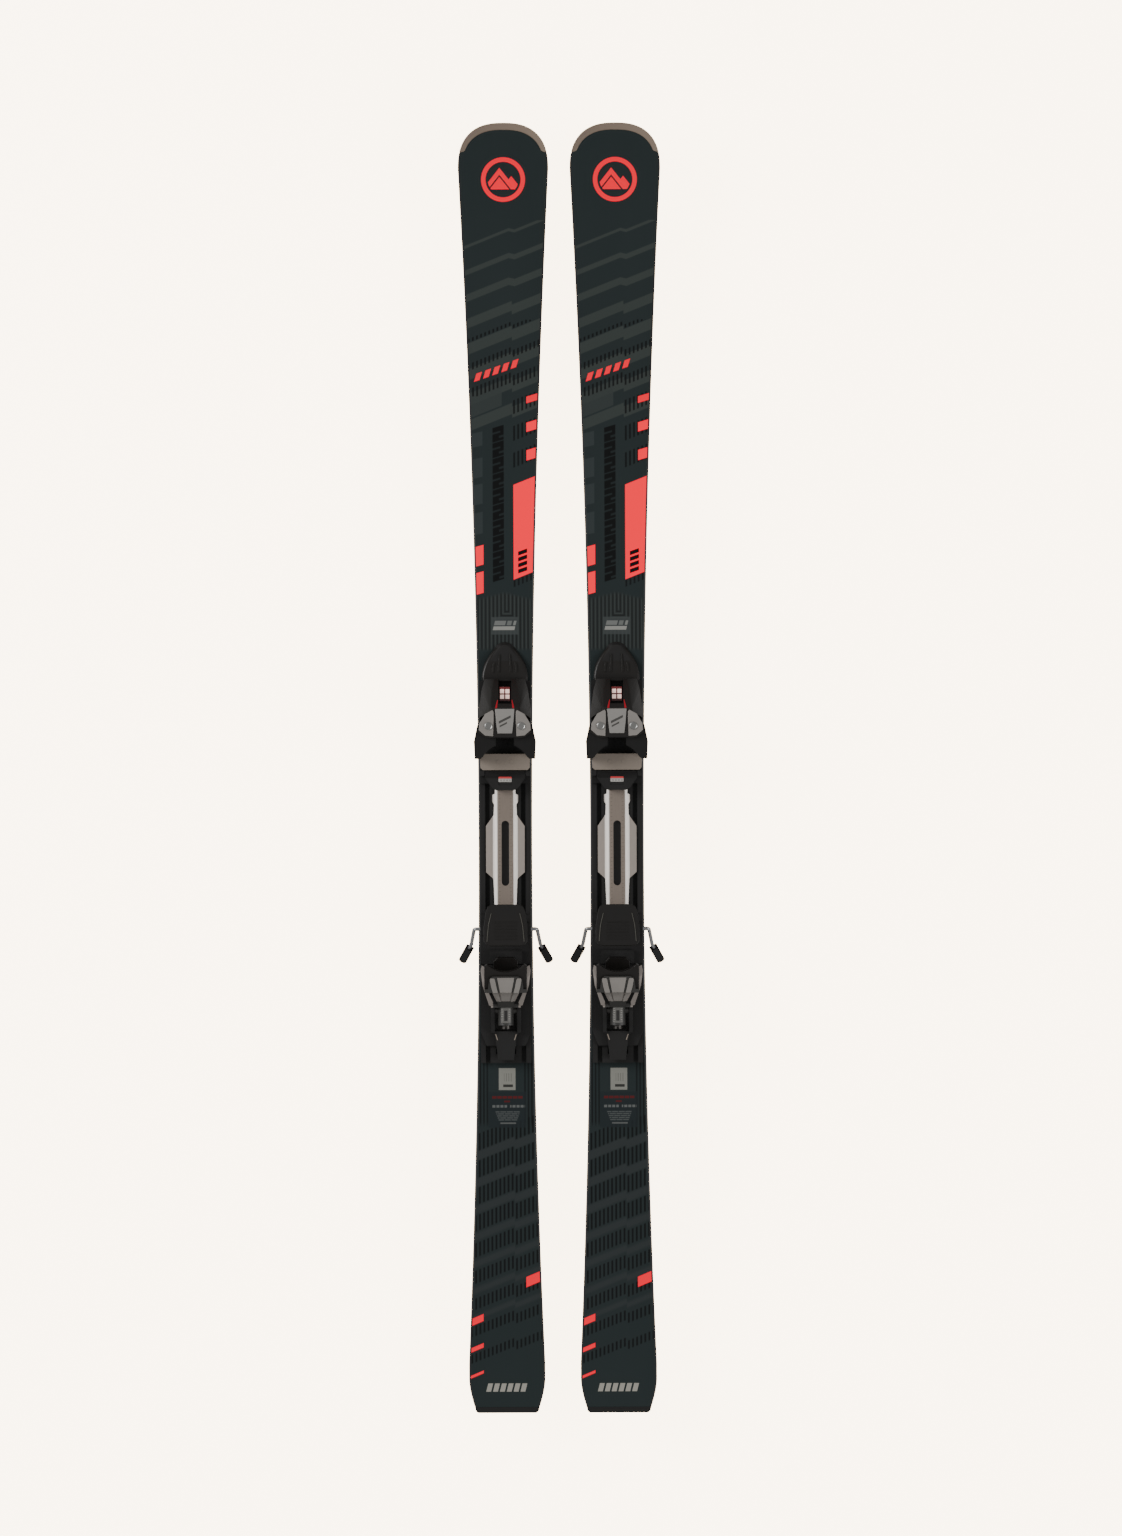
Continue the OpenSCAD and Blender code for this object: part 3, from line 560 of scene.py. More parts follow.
def printed_sheet():
    """Slate sheet: slanted light stripes, black combs under them, red blocks and plain bars as marks."""
    p = Paint("printed_slate_sheet", (41, 46, 47), 0.44, Specular_IOR_Level=0.15)
    u, v = p.across(), p.y
    cloud = p.noise(0.012, (1, 0.35, 1), detail=3)
    colour = p.shaded((38, 46, 47), 0.94 + 0.12 * cloud)
    black = (9, 11, 12)
    reds = None

    def paint(mask, shade):
        """Lays a shade over the print where the mask is 1."""
        nonlocal colour
        colour = p.mix(mask, colour, shade)

    def paint_red(mask):
        """Lays the bright red, and keeps where it is for the glow."""
        nonlocal reds
        paint(mask, BRIGHT_RED)
        reds = mask if reds is None else reds.high(mask)

    # A slanted measure along the ski, with a step to the right of the middle that is soft near the tip
    crisp = u > 11
    step = 5 * (crisp + (((u - 7) / 8).held() - crisp) * (v > 640))
    w = v - 0.4 * u + step

    # Front: light slanted stripes that widen towards the binding, with combs of black strokes between them
    pitch = 34.5
    rank = (720.8 - w) / pitch
    away = abs(rank - rank.nearest()) * pitch
    reach = (2 + 1.5 * rank.nearest()).low(7.5)
    paint(((reach - away) / 1.2 + 0.5).held() * w.between(466, 726) * v.between(430, 736), (57, 63, 61))
    paint(w.between(489, 523, 1) * (u < -3) * 0.8, (55, 61, 60))
    pitch = 36
    rank = (594 - w) / pitch
    away = abs(rank - rank.nearest()) * pitch
    tall = (2.5 + (594 - w) * 0.062).low(10)
    stroke = (u % 5.5).between(1.4, 3.8, 0.5)
    ends = v.between(500 - 100 * (u > 10.5), 603)
    paint(((tall - away) / 0.8 + 0.5).held() * stroke * ends * 0.9, black)

    # The tip's own mark: two plain red peaks in a ring
    ring = (u * u + (v - 790) * (v - 790)).root()
    summit = 806 - 1.25 * abs(u + 5) - v
    peaks = summit.high(795 - 1.25 * abs(u - 11) - v)
    snow = summit.between(9.5, 12.5)
    paint_red(ring.between(23.5, 29.5))
    paint_red((ring < 20.5) * (peaks / 0.8).held() * (v > 777) * (1 - snow))

    # Plain slanted bars where a name would be
    along = u + 40 - 0.3 * (v - 520)
    paint_red((v - 0.35 * (u + 40)).between(519.5, 529.5) * along.between(0, 50.8) * (along % 11 < 6.8))

    # Right: red blocks
    lean = v - 0.3 * (u - 30)
    for low, high in ((490.5, 499.5), (452, 464.5), (413.5, 427.5)):
        paint_red(lean.between(low, high) * (u > 30))
    lean = v - 0.4 * (u - 12.3)
    paint_red(lean.between(253.5, 381) * (u > 12.3))
    for low in (262.5, 270.5, 278.5, 286.5):
        notch = (v - 0.35 * (u - 20)).between(low, low + 5.2) * u.between(18.5, 30.5)
        paint(notch, black)
        reds = reds * (1 - notch)

    # More black strokes under the big red block
    paint(lean.between(243.5, 252.5) * stroke * (u > 12.3) * 0.8, black)

    # Left: paler squares, then red blocks
    lean = v - 0.22 * (u + 34)
    for low, high in ((433, 452), (391, 417), (355, 382), (315, 344)):
        paint(lean.between(low, high) * (u < -29) * 0.9, (52, 59, 60))
    lean = v - 0.28 * (u + 34)
    for low, high in ((272.5, 299), (234.5, 263.5)):
        paint_red(lean.between(low, high) * (u < -28))

    # A column of black slanted slabs
    slab = (v - 0.3 * u) % 21
    notch = (slab.between(5, 8) * (u > -7)).high(slab.between(12, 14.5) * (u < -5)).high(slab < 1.6)
    paint(u.between(-15.5, -0.5) * (v - 0.3 * u).between(255, 462) * (1 - notch * 0.7), black)

    # Fine lines in front of the binding: nested channels round a small plain label
    nest = abs(u - 3).high((213 - v).low(13) * (v > 190))
    line = (nest % 5.2).between(1.5, 3.4, 0.7)
    shown = v.between(160, 236 - 0.25 * abs(u), 5)
    paint(shown * 0.6, (50, 55, 54))
    paint(line * shown * 0.8, (24, 25, 25))
    paint(((nest + 2.6) % 5.2).between(2.2, 2.9, 0.6) * shown * 0.6, (74, 79, 76))
    lean = u - 0.25 * (v - 190)
    paint(u.between(-18, 18.5, 1) * v.between(180, 203.5, 1) * 0.8, (66, 71, 71))
    paint(lean.between(-15, 14) * v.between(186, 191), (148, 148, 143))
    paint(lean.between(-15, 0) * v.between(192.5, 198.5), (116, 118, 116))
    paint(lean.between(2, 8) * v.between(192.5, 198.5), (108, 111, 109))
    paint(lean.between(10.5, 14) * v.between(192.5, 198.5), (126, 128, 125))

    # Behind the binding: combs that thin out towards the tail, with light stripes between them
    rank = (-486.5 - w) / pitch
    away = abs(rank - rank.nearest()) * pitch
    tall = (11.5 - 0.95 * (rank - 2).high(0)).high(2.8)
    behind = v.between(-800, -446)
    light = (away - pitch / 2).within(6.5 - 0.45 * rank.high(0), 4)
    paint(light * w.between(-735, -478, 4) * 0.8, (50, 54, 55))
    paint(((tall - away) / 1.5 + 0.5).held() * stroke * w.between(-800, -468) * behind * 0.9, black)
    paint((u % 4.6).between(1.2, 3.2, 0.8) * v.between(-478, -392, 8) * (abs(u) > 24) * 0.8, (12, 14, 15))

    # The rear label and its plain bars
    paint(u.between(-24, 26, 1) * v.between(-482, -434, 1) * 0.8, (33, 40, 43))
    paint(u.between(-10, 12.5) * v.between(-431.5, -402), (134, 134, 127))
    ribs = ((u + 1) % 3.2).between(0.8, 1.9, 0.4)
    paint(ribs * u.between(-3, 8) * v.between(-420, -409) * 0.5, (84, 84, 78))
    paint(u.between(-4, 9) * v.between(-427.5, -424), (52, 52, 50))
    paint(u.between(-19, 22) * v.between(-443, -439.5) * ((u + 20) % 7 > 0.9), (88, 30, 32))
    paint(u.between(-3, 5) * v.between(-448, -445.6), (84, 30, 32))
    dashes = ((u + 20) % 5.4 > 1.3) * u.between(-19, 25) * (1 - u.between(1, 5))
    paint(dashes * v.between(-455, -451.6), (96, 99, 98))
    for n in range(5):
        dashes = ((u + 3 * n) % 9 > 0.8) * (abs(u - 2) < 16.5 - n)
        paint(dashes * v.between(-461.6 - 2.7 * n, -460 - 2.7 * n), (78, 82, 82))
    paint(u.between(-8, 13) * v.between(-477, -475), (92, 94, 93))

    # Tail: red blocks on both sides and plain pale bars
    paint_red((v - 0.42 * (u - 27)).between(-696.5, -682.5) * (u > 26))
    for low, high in ((-747.5, -738), (-783, -777), (-817.5, -813.8)):
        paint_red((v - 0.42 * (u + 45)).between(low, high) * (u < -31.5))
    lean = u - 0.25 * (v + 831)
    paint(lean.between(-27, 27) * v.between(-836.5, -825.5) * (((lean + 27) % 9.2) < 6.6), (160, 157, 148))

    # Painted light: the red print glows a little by itself, most of all in the big blocks, so it looks brighter
    grain = p.noise(1.5, detail=2)
    glow = p.mix(reds * (0.3 + 0.7 * v.between(220, 480)), UNLIT, RED_GLOW)
    p.glows()
    p.feed(Base_Color=colour, Roughness=0.38 + 0.1 * cloud + 0.06 * grain, Emission_Color=glow)
    return p.relief(grain, 0.012).material


def running_base_finish():
    """Sintered black base: fine ground lines along the ski, a groove painted darker as shade, and plain dull
    red chevrons.
    """
    p = Paint("sintered_base", (26, 26, 28), 0.5)
    u = p.across()
    ground = p.noise(3.0, (1, 0.03, 1), detail=3)
    cloud = p.noise(0.02, detail=4)
    chevron = ((p.y + 0.9 * abs(u)) % 120).between(30, 44, 1) * p.y.between(-700, 700)
    groove = u.within(4, 0.6)
    colour = p.mix(chevron * 0.55, p.shaded((27, 27, 29), 0.8 + 0.4 * cloud), (120, 44, 46))
    # Painted shade: the groove is coloured darker than the base around it
    colour = p.mix(groove, colour, (16, 16, 18))
    p.feed(Base_Color=colour, Roughness=0.4 + 0.22 * ground)
    return p.relief(ground * 0.4 + (1 - groove) * 0.6, 0.05).material


def wood_finish():
    """The laminated core: boards with a drawn-out grain and dark joints."""
    p = Paint("laminated_core", (176, 132, 88), 0.55)
    grain = p.noise(0.25, (1, 0.04, 1), detail=6)
    joint = (p.x % 11).within(0.5, 0.4)
    p.feed(Base_Color=p.mix(joint, p.shaded((182, 138, 92), 0.75 + 0.5 * grain), (96, 62, 36)),
           Roughness=0.45 + 0.2 * grain)
    return p.relief(grain, 0.05).material


def bronze_guard_finish():
    """Satin bronze tip guard, with painted light: a little paler towards one flank."""
    p = Paint("bronze_guard", (120, 107, 95), 0.4, 0.3)
    u = p.across()
    grain = p.noise(1.8, detail=3)
    # Painted light: the colour grows paler across the guard towards one flank
    lit_flank = ((u + 30) / 70).held()
    p.feed(Base_Color=p.shaded((146, 129, 114), 0.85 + 0.2 * lit_flank + 0.1 * grain),
           Roughness=0.34 + 0.16 * grain)
    return p.relief(grain, 0.015).material


def band_finish():
    """Boot-size band: bronze ridge with a dark slot and index strokes; its bright rims and paler flanges are
    painted highlights.
    """
    p = Paint("bronze_band", (128, 118, 108), 0.42, 0.12)
    u = p.across()
    lines = p.noise(2.0, (1, 0.05, 1), detail=3)
    up = p.z - (lift / MM + rail)
    low = up < 6.2
    # Painted highlights: the rolled rims are coloured near white and the flanges paler than the ridge
    rim_highlight = abs(u).between(10.8, 16.4, 1.2) * low
    flange_sheen = (abs(u) > 16.4) * low
    slot = (abs(u) < 5.2) * low * p.y.between((toe + heel) / 2 - 44, (toe + heel) / 2 + 45)
    ticks = (p.y % 5).within(0.4, 0.3) * abs(u).between(6.4, 8.6, 0.3) * (up > 6)
    worn = 0.86 + 0.28 * lines
    # Painted sheen on the flanges, then painted highlights on the rims
    colour = p.mix(flange_sheen, p.shaded((134, 122, 112), worn), p.shaded((164, 154, 146), worn))
    colour = p.mix(rim_highlight, colour, p.shaded((0.96, 0.9, 0.84, 1.0), 0.9 + 0.2 * lines))
    colour = p.mix(slot, colour, (26, 24, 22))
    colour = p.mix(ticks * 0.8, colour, (76, 66, 58))
    p.feed(Base_Color=colour, Roughness=0.34 + 0.16 * lines)
    return p.relief(lines, 0.01).material


def silver_finish():
    """Satin silver casting: soft clouding and a fine sparkle."""
    p = Paint("satin_silver", (150, 146, 142), 0.36, 0.4)
    cloud, sparkle = p.noise(0.05, detail=4), p.noise(3.5, detail=2)
    p.feed(Base_Color=p.shaded((156, 151, 146), 0.84 + 0.2 * cloud + 0.12 * sparkle),
           Roughness=0.3 + 0.14 * cloud + 0.04 * sparkle)
    return p.relief(sparkle, 0.012).material


def housing_finish():
    """The heel frame: silver casting, with a dark hood and back plate that lean with the open cup."""
    p = Paint("heel_frame", (150, 146, 142), 0.36)
    u = p.across()
    ahead, above = p.y - (heel - heel_pin_back), p.z - (lift / MM + heel_pin_height)
    cos, sin = math.cos(math.radians(open_lean)), math.sin(math.radians(open_lean))
    hood = ((ahead * cos + above * sin) > 2.8) * (abs(u) < 28.3) * ((above * cos - ahead * sin) > 9)
    low = (p.z < lift / MM + 58) * (p.y > heel - 50)
    throat = (p.y < heel - 43.5) * (abs(u) < 17)
    dark = hood.high(low).high(throat)
    cloud, sparkle = p.noise(0.05, detail=4), p.noise(3.5, detail=2)
    cast = p.shaded((162, 154, 148), 0.84 + 0.2 * cloud + 0.12 * sparkle)
    p.feed(Base_Color=p.mix(dark, cast, p.shaded((44, 43, 41), 0.86 + 0.28 * cloud)),
           Roughness=0.32 + 0.14 * cloud + 0.12 * dark, Metallic=0.4 * (1 - dark))
    return p.relief(sparkle, 0.012).material


def tile_finish():
    """Indicator window: pale pink squares between dark red lines; the squares carry a painted glow."""
    p = Paint("indicator_tile", (214, 172, 168), 0.3, Coat_Weight=0.4, Coat_Roughness=0.12)
    u = p.across()
    v = p.y - (toe + 60)
    square = abs(u).between(0.9, 6.2, 0.3) * abs(v).between(0.9, 6.4, 0.3)
    colour = p.mix(square, (120, 30, 34), p.shaded((0.85, 0.62, 0.56, 1.0), 0.92 + 0.16 * p.noise(0.3)))
    # Painted light: the pale squares glow, though nothing lights them
    p.glows()
    p.feed(Base_Color=colour, Roughness=0.26 + 0.1 * p.noise(0.4),
           Emission_Color=p.mix(square, UNLIT, (0.75, 0.5, 0.44, 1.0)))
    return p.relief(square, 0.08).material


def label_finish():
    """The size lever's label: a red strip over light grey with plain dark bars."""
    p = Paint("lever_label", (170, 168, 164), 0.4)
    u = p.across()
    v = p.y - toe
    bars = ((u + 10) % 4).within(1.2, 0.3) * v.between(-56.8, -54.8, 0.3) * abs(u).within(7.5)
    colour = p.mix(v > -53.4, p.shaded((176, 173, 168), 0.94 + 0.12 * p.noise(0.5)), (206, 62, 62))
    p.feed(Base_Color=p.mix(bars * 0.8, colour, (70, 68, 66)), Roughness=0.36 + 0.1 * p.noise(0.4))
    return p.relief(bars, 0.03).material


def panel_finish():
    """The toe's centre panel: silver brushed across, with two plain slanted dark bars."""
    p = Paint("toe_panel", (150, 147, 143), 0.36, 0.3)
    u = p.across()
    v = p.y - toe
    brush = p.noise(2.0, (0.08, 1, 1), detail=3)
    lean = v - 0.5 * u
    mark = (lean.between(24, 27.4, 0.4) * abs(u).within(8)
            + lean.between(18.6, 21, 0.4) * u.between(-7, 3, 0.4))
    colour = p.mix(mark.held() * 0.85, p.shaded((156, 153, 149), 0.88 + 0.24 * brush), (52, 50, 49))
    p.feed(Base_Color=colour, Roughness=0.32 + 0.12 * brush)
    return p.relief(brush, 0.012).material


def window_finish():
    """The heel's setting window: grey with a dark index slot and strokes beside it."""
    p = Paint("setting_window", (94, 93, 91), 0.25, Coat_Weight=0.5, Coat_Roughness=0.1)
    u = p.across()
    v = p.y - heel
    slot = u.within(2.2, 0.3) * v.between(-70, -56, 0.4)
    strokes = ((v + 100) % 2.4).within(0.35, 0.3) * abs(u).between(3.6, 6, 0.3) * v.between(-71, -54)
    colour = p.mix(slot, p.shaded((98, 97, 94), 0.9 + 0.2 * p.noise(0.4)), (26, 25, 25))
    p.feed(Base_Color=p.mix(strokes, colour, (188, 186, 180)), Roughness=0.22 + 0.12 * p.noise(0.3))
    return p.relief(1 - slot, 0.06).material


sheet_print = printed_sheet()
base_finish = running_base_finish()
edge_finish = brushed("ground_edge", (176, 178, 180), 0.32, (1, 0.03, 1), 0.01).material
wall_finish = moulded("sidewall_black", (24, 24, 26), 0.42, 0.02, 0.1).material
core_finish = wood_finish()
guard_bronze = bronze_guard_finish()
guard_black = moulded("guard_black", (18, 18, 19), 0.5, 0.06, 0.12).material
binding_black = moulded("binding_black", (26, 25, 25), 0.52, 0.05, 0.12).material
cover_black = moulded("cover_black", (25, 22, 20), 0.42, 0.03, 0.1,
                      Coat_Weight=0.06, Coat_Roughness=0.25).material
pedal_black = moulded("pedal_black", (17, 14, 12), 0.58, 0.08, 0.14, 1.1).material
# Light grey for the pedal's side ribs: a painted highlight on the pedal's edges
pedal_highlight_line = moulded("pedal_highlight_line", (84, 82, 76), 0.5, 0.03, 0.1).material
wing_black = moulded("wing_black", (22, 21, 21), 0.36, 0.03, 0.1).material
glide_bronze = moulded("glide_bronze", (142, 131, 120), 0.4, 0.02, 0.08,
                       Coat_Weight=0.2, Coat_Roughness=0.2).material
band_bronze = band_finish()
silver = silver_finish()
frame_finish = housing_finish()
red = moulded("signal_red", (0.34, 0.004, 0.014, 1.0), 0.4, 0.02, 0.06).material
tiles = tile_finish()
lever_label = label_finish()
toe_panel = panel_finish()
window_grey = window_finish()
zinc = brushed("zinc_plate", (170, 170, 168), 0.34, (1, 1, 1), 0.02).material
dark_steel = brushed("blackened_steel", (66, 63, 60), 0.38, (1, 1, 1), 0.02, metallic=0.6).material
spring_wire = brushed("spring_wire", (140, 140, 142), 0.3, (1, 0.3, 1), 0.01).material
arm_wire = brushed("arm_wire", (176, 177, 179), 0.32, (0.4, 0.2, 0.2), 0.004, metallic=0.7).material

# ---------------------------------------------------------------- the ski


def lifted(low_offset, high_offset, from_top):
    """A rule for follow(): the high row runs below the deck line by its offset.

    The low row runs above the sole line by its offset, or below the deck line too.
    """
    def rule(y, z):
        low = deck_line(y) - low_offset if from_top else sole_line(y) + low_offset
        return deck_line(y) - high_offset if z > 0.5 else low
    return rule


def under(y, z):
    """A rule for follow(): a layer two millimetres thick on the sole line."""
    return sole_line(y) + 2 * (z > 0.5)


def full_width(less):
    """Lines across the whole ski, less at each edge, and round the tip inside its guard."""
    straight = [((-ski_half(y) + less, y), (ski_half(y) - less, y)) for y in ski_rows]
    return straight + [((-x, y), (x, y)) for x, y in inner_rim[1:]]


def half_width(inner, outer):
    """Lines along one edge of the ski, from inner to outer millimetres inside it."""
    return [((ski_half(y) - inner, y), (ski_half(y) - outer, y)) for y in ski_rows]


def make_ski():
    """The layers of the ski, its tip guard and tail strip."""
    sheet = strip("sheet", full_width(2.5))
    follow(sheet, lifted(1.2, 0, True))
    fitted(softened(sheet, 0.5, 2, 50), sheet_print, "ski", "top_sheet_slate", "top_sheet")

    base = strip("base", full_width(2.2))
    follow(base, under)
    fitted(softened(base, 0.15, 1, 50), base_finish, "ski", "base_black", "running_base")

    edge = strip("edge", half_width(2.2, 0))
    follow(edge, under)
    mirrored(edge)
    fitted(softened(edge, 0.25, 1, 50), edge_finish, "ski", "edge_steel", "steel_edges")

    # The sidewalls slant in towards the deck
    wall = strip("sidewall", half_width(7, 0.3))
    pick(wall, lambda p, way: p.z > 0.5 and p.x > ski_half(min(p.y, guard_start)) - 2, "VERT")
    move(x=-2.2)
    follow(wall, lifted(2, 1.2, False))
    mirrored(wall)
    fitted(softened(wall, 0.4, 2, 50), wall_finish, "ski", "sidewall_black", "sidewalls")

    ends = list(zip(inner_rim, outer_rim)) + [((0, inner_rim[-1][1]), (0, half_length))]
    guard = strip("tip_rim", ends)
    follow(guard, lifted(0, 0, False))
    mirrored(guard)
    fitted(softened(guard, 1.1, 3, 50), guard_bronze, "ski", "bronze_metal", "tip_guard")

    tail_rows = [-half_length + d for d in (0.15, 0.5, 1, 2, 3, 4.5, 6, 7, 8)]
    tail = plate("tail_rim", [(y, ski_half(y)) for y in tail_rows])
    follow(tail, lifted(0, 0, False))
    fitted(softened(tail, 0.9, 3, 50), guard_black, "ski", "guard_black", "tail_guard")
    repainted(core_finish, "wood_core")
    repainted(zinc, "track_screws")


def make_track():
    """The binding's track with its rounded nose and four ribs, and the boot-size band."""
    reworked("binding_track", 0.5, 2, binding_black, "ski", "binding_black")
    # The nose goes on from where the track's square part ends
    square_end = nose - 51.5
    profile = [(0, 31, 27.3), (5, 31, 27.2), (10, 30.4, 26.9), (16, 29, 26.3), (22, 27, 25.6),
               (28, 24.2, 24.7), (34, 20.6, 23.6), (39, 16.8, 22.6), (43.5, 12.4, 21.6),
               (47.5, 7.6, 20.6), (50.4, 3.6, 19.6)]
    dome = loft("nose_dome", [(square_end + d, -half, half, deck, high) for d, half, high in profile])

    def upper_side(p, way):
        """An edge of the dome's top that runs along the ski."""
        return abs(way.y) > 0.3 and abs(way.z) < 0.5 and abs(way.x) < 0.95 and p.z > deck + 1.9

    pick(dome, upper_side, "EDGE")
    chamfer(3.4, 5)
    fitted(softened(dome, 0.3, 2, 55, 60), cover_black, "ski", "binding_black")

    def rib_height(y, z):
        d = y - square_end
        return 27.3 - 0.0022 * d ** 2 - 0.012 * d + (0.9 if z > 0.5 else -1)

    for number, x in enumerate((-15.5, -8, 8, 15.5)):
        rib = ribbon(f"nose_rib_{number + 1}", [
            (square_end + 11, x - 1.7, x + 1.7), (square_end + 17, x - 1.6, x + 1.6),
            (square_end + 24, x * 0.93 - 1.3, x * 0.93 + 1.3),
            (square_end + 40 - 0.075 * x * x, x * 0.86 - 0.7, x * 0.86 + 0.7)])
        follow(rib, rib_height)
        fitted(softened(rib, 0.4, 2, 40), cover_black, "ski", "binding_black")
    reworked("size_band", 0.5, 2, band_bronze, "ski", "bronze_metal")


def on_line(points, y):
    """Height at y of a line through points (y, z), listed from the tip backwards."""
    for (y1, z1), (y2, z2) in zip(points, points[1:]):
        if y >= y2:
            return z1 + (z2 - z1) * (y1 - y) / (y1 - y2)
    return points[-1][1]


def laid_on(line, above, below):
    """A rule for follow(): a thin cover that stands above a line and reaches below it."""
    return lambda y, z: line(y) + (above if z > 0.5 else -below)


# ---------------------------------------------------------------- the toe


def slope(y):
    """Height of the toe cover's top line."""
    return on_line(((toe + 80, 43.3), (toe + 66, 60.3), (toe + 42, roof - 3), (toe + 24, roof)), y)


def make_toe():
    """The toe piece with its covers, wings and window, the glide plate and the size lever."""
    reworked("toe_base", 0.4, 2, binding_black, "toe", "binding_black")
    reworked("toe_cover", 0.9, 3, cover_black, "toe", "cover_black")

    petal = strip("toe_petal", [((14.8, toe + 36), (16.4, toe + 38.6)), ((14.8, toe + 24), (26.5, toe + 33)),
                                ((15.2, toe + 15), (34.2, toe + 20)), ((15.4, toe + 8), (34.8, toe + 11.5)),
                                ((15.6, toe + 3.2), (26.4, toe + 4.2))])
    follow(petal, laid_on(slope, 1.3, 0.5))
    mirrored(petal)
    fitted(softened(petal, 0.45, 2, 40), silver, "toe", "cast_silver")

    panel = plate("centre_panel", [(toe + 7, 9.8), (toe + 22, 11.6), (toe + 40, 13)])
    follow(panel, laid_on(slope, 1.5, 0.5))
    fitted(softened(panel, 0.4, 2, 40), toe_panel, "toe", "cast_silver")

    cap = start("cylinder", "pivot_cap", (22, toe + 17, roof + 1.3),
                radius=5.2 * MM, depth=2.6 * MM, vertices=48)
    pick(cap, lambda p, way: way.z > 0.9)
    inset(1.1)
    move(z=-0.5)
    inset(1.4)
    move(z=0.35)
    mirrored(cap)
    fitted(softened(cap, 0.25, 2, 40), zinc, "toe", "screw_steel")

    fleck = ribbon("red_fleck", [(toe + 40.8, 10.2, 13), (toe + 46.5, 9.6, 11.6), (toe + 52, 9.1, 10.2)])
    follow(fleck, laid_on(slope, 0.9, 0.5))
    mirrored(fleck)
    fitted(softened(fleck, 0.3, 2, 40), red, "toe", "cover_black")
    spot = ribbon("red_spot", [(toe + 32.6, 31.4, 34.6), (toe + 40.2, 30.6, 33.8)], toe_floor + 13, 5)
    mirrored(spot)
    fitted(softened(spot, 0.5, 2, 40), red, "toe", "cover_black")

    tile = plate("indicator", [(toe + 50.5, 6.9), (toe + 69.5, 6.9)], toe_barrel - 0.2, 1.6)
    pick(tile, lambda p, way: way.z > 0.9)
    inset(0.7)
    move(z=-0.35)
    fitted(softened(tile, 0.25, 2, 40), tiles, "toe", "cover_black")

    for wing in ("wing_l", "wing_r"):
        reworked("toe_" + wing, 0.9, 3, wing_black, wing, "binding_black")
    repainted(zinc, "toe_wing_pins", "heel_pin")
    repainted(dark_steel, "toe_setting_screw", "heel_setting_screw")
    repainted(spring_wire, "toe_spring", "heel_spring")

    reworked("glide_plate", 0.6, 3, glide_bronze, "glide", "bronze_plastic")
    dimple = start("cylinder", "glide_dimple", (9, toe - 31, stand + 0.15),
                   radius=3 * MM, depth=0.7 * MM, vertices=32)
    pick(dimple, lambda p, way: way.z > 0.9)
    inset(0.9)
    move(z=-0.4)
    mirrored(dimple)
    fitted(softened(dimple, 0.15, 2, 40), glide_bronze, "glide", "bronze_plastic")

    reworked("size_lever", 0.6, 3, binding_black, "lever", "binding_black")
    lever_top = stand - 3
    outline = [(toe - 58, 8.2), (toe - 57.4, 8.8), (toe - 51.4, 8.8), (toe - 50.8, 8.2)]
    label = plate("lever_label_tile", outline, lever_top - 1.4, 1.8)
    fitted(softened(label, 0.3, 2, 40), lever_label, "lever", "binding_black")


# ---------------------------------------------------------------- the brake


def wire_half(name, points, radius, bend):
    """One half of a round wire: a disc pulled straight, then spun round each corner."""
    points = [Vector(point) for point in points]
    first = (points[1] - points[0]).normalized()
    piece = start("circle", name, tuple(points[0]), radius=radius * MM, vertices=20, fill_type="NGON",
                  rotation=first.to_track_quat("Z", "Y").to_euler())
    everything()
    here = points[0]
    for before, corner, after in zip(points, points[1:], points[2:]):
        way_in, way_out = (corner - before).normalized(), (after - corner).normalized()
        angle = way_in.angle(way_out)
        cut = bend * math.tan(angle / 2)
        stop = corner - way_in * cut
        pull(*(stop - here))
        axis = way_in.cross(way_out).normalized()
        hub = stop + axis.cross(way_in) * bend
        steps = max(3, round(math.degrees(angle) / 9))
        bpy.ops.mesh.spin(steps=steps, angle=-angle, center=at(*hub), axis=axis)
        here = corner + way_out * cut
    pull(*(points[-1] - here))
    outwards()
    return piece


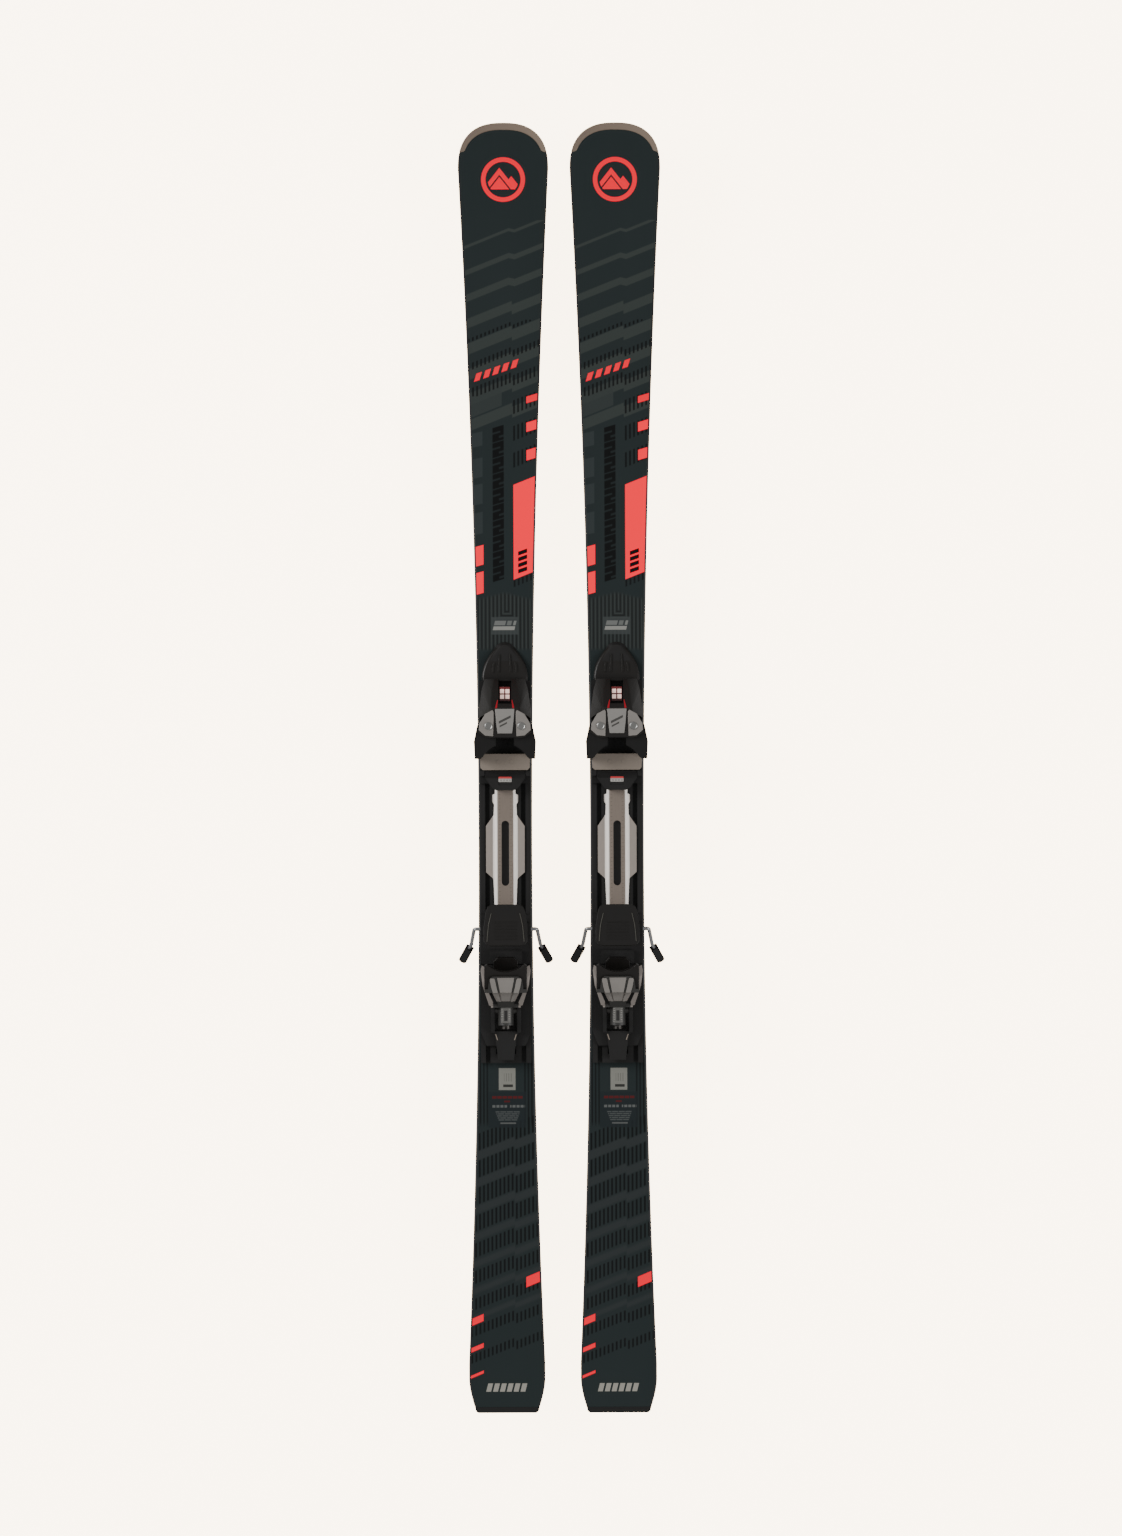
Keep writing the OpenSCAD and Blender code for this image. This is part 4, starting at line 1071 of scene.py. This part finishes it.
def make_brake():
    """The bent wire with its paddles, the sliding base and the pedal with its tread."""
    bar_x, bail_y, bail_z, hinge_y, hinge_z = 20, heel + 66.486, 67.3786, heel + 53, 34
    wire_radius, corner_radius, clearance = 2.5, 3.4, 2.8
    arm_x = ski_half(hinge_y - 45) + clearance + wire_radius
    knee, foot = (arm_x + 4.5, hinge_y - 21.84, -12.2), (arm_x + 14, heel + 14, -42)
    wire = wire_half("brake_arm", [(0, bail_y, bail_z), (bar_x, bail_y, bail_z), (bar_x, hinge_y, hinge_z),
                                   (arm_x, hinge_y, hinge_z), knee, foot], wire_radius, corner_radius)
    pick(wire, lambda p, way: abs(p.x) < 0.01 and abs(way.x) > 0.9)
    bpy.ops.mesh.delete(type="ONLY_FACE")
    mirrored(wire)
    lone(wire)
    bpy.ops.object.shade_smooth_by_angle(angle=math.radians(34))
    fitted(wire, arm_wire, "brake", "wire_steel", "brake_wire")
    reworked("brake_tips", 1.2, 3, guard_black, "brake", "guard_black")
    reworked("brake_bracket", 0.5, 2, binding_black, "brake_base", "binding_black")

    reworked("brake_pedal", 0.9, 3, pedal_black, "pedal", "binding_black")
    tilt = math.tan(math.radians(8))

    def pedal_top(y):
        return bail_z + 7.4 + (bail_y - y) * tilt

    # Painted highlight: light grey ribs along the pedal's sides stand for the sheen on its edges
    rib = ribbon("pedal_rib", [(bail_y + 8, 18.6, 19.6), (bail_y - 8, 22.4, 23.4), (bail_y - 30, 24.4, 25.4)])
    follow(rib, laid_on(pedal_top, 0.9, 0.4))
    mirrored(rib)
    fitted(softened(rib, 0.3, 2, 40), pedal_highlight_line, "pedal", "binding_black")
    tread = plate("pedal_tread", [(bail_y - 4.8, 15), (bail_y - 3.6, 15)])
    follow(tread, laid_on(pedal_top, 0.8, 0.4))
    with_modifier(tread, "ARRAY", count=6, use_relative_offset=False, use_constant_offset=True,
                  constant_offset_displace=(0, -4.4 * MM, 4.4 * tilt * MM))
    fitted(softened(tread, 0.25, 2, 40), pedal_black, "pedal", "binding_black")


# ---------------------------------------------------------------- the heel


def crest(y):
    """Height of the heel's top line: the leaning hood, its back edge, then the shell down to the barrel."""
    return on_line(((heel - 10, 93.7), (heel - 31.9, 86.7), (heel - 33.4, 82), (heel - 52, 60.6)), y)


def make_heel():
    """The heel piece: carriage, swinging frame, cup and lever, with its window and silver covers."""
    reworked("heel_carriage", 0.5, 2, binding_black, "carriage", "binding_black")
    reworked("heel_housing", 0.5, 2, frame_finish, "heel", "cast_silver")
    reworked("heel_cup", 0.9, 3, cover_black, "heel", "binding_black")
    reworked("heel_lever", 0.7, 3, binding_black, "heel_lever", "binding_black")

    outline = [(heel - 73, 5.6), (heel - 72, 6.6), (heel - 53, 6.6), (heel - 52, 6)]
    window = plate("heel_window", outline, heel_barrel, 1.7)
    pick(window, lambda p, way: way.z > 0.9)
    inset(0.8)
    move(z=-0.4)
    fitted(softened(window, 0.25, 2, 40), window_grey, "heel", "cast_silver")

    def spine_height(y, z):
        groove = 0.5 * (abs(y - heel + 14.6) < 0.5)
        return crest(y) + (1.2 - groove if z > 0.5 else -0.8)

    steps = (31.6, 26, 21.4, 20, 14, 8, 3.4, 2.6, 0)
    spine = ribbon("heel_spine", [(heel - 11.6 - d, -11.5 + 0.19 * d, 11.5 - 0.19 * d) for d in steps])
    follow(spine, spine_height)
    fitted(softened(spine, 0.35, 2, 30), silver, "heel", "cast_silver")
    petal = ribbon("heel_petal", [(heel - 44, 6.3, 9.2), (heel - 38, 8, 13.2), (heel - 33.4, 9.8, 16.4),
                                  (heel - 32, 10.3, 17.2), (heel - 24, 12.4, 19.6), (heel - 15, 14.2, 21.2),
                                  (heel - 12.4, 15.4, 20.6)])
    follow(petal, laid_on(crest, 1.0, 0.8))
    mirrored(petal)
    fitted(softened(petal, 0.4, 2, 30), silver, "heel", "cast_silver")
    line = ribbon("lever_line", [(heel - 96, 10.6, 12), (heel - 88, 13.2, 14.6)], toe_floor + 7.8, 0.7)
    mirrored(line)
    fitted(softened(line, 0.2, 2, 40), glide_bronze, "heel_lever", "binding_black")


make_ski()
make_track()
make_toe()
make_brake()
make_heel()

# ---------------------------------------------------------------- floor, light and camera

bpy.ops.mesh.primitive_plane_add(size=14, location=(0, 0, -0.0005))
floor = bpy.context.object
floor.name = "floor"
floor_paint = Paint("studio_floor", (0.8, 0.78, 0.75, 1.0), 0.9, Specular_IOR_Level=0.1,
                    Emission_Color=(1.0, 0.82, 0.6, 1.0), Emission_Strength=8.2)
cloud = floor_paint.noise(0.004)
floor_paint.feed(Base_Color=floor_paint.shaded((0.82, 0.795, 0.76, 1.0), 0.985 + 0.03 * cloud))
floor.data.materials.append(floor_paint.material)
# The camera sees the floor, but it sheds no light on the part and isn't mirrored in it
floor.visible_glossy = floor.visible_diffuse = False

world = bpy.data.worlds.new("studio")
bpy.context.scene.world = world
world.use_nodes = True
sky = world.node_tree.nodes["Background"].inputs
sky["Color"].default_value = (1.0, 0.985, 0.965, 1)
sky["Strength"].default_value = 0.45


def lamp(name, place, size, power):
    """A round area light that looks at the part."""
    light = bpy.data.lights.new(name, "AREA")
    light.shape, light.size, light.energy = "DISK", size, power
    holder = bpy.data.objects.new(name, light)
    bpy.context.scene.collection.objects.link(holder)
    holder.location = place
    holder.rotation_euler = (-Vector(place)).to_track_quat("-Z", "Y").to_euler()


lamp("key", (-4.6, 1.6, 3.4), 3.0, 300)
lamp("fill", (4.6, -1.8, 3.2), 3.2, 210)

camera = bpy.data.cameras.new("camera")
camera.lens, camera.sensor_width, camera.clip_end = 300, 36, 80
eye = bpy.data.objects.new("camera", camera)
bpy.context.scene.collection.objects.link(eye)
eye.location = (0, 0.0006, 17.2 + lift)
eye.rotation_euler = (0, 0, math.radians(-0.2))
bpy.context.scene.camera = eye
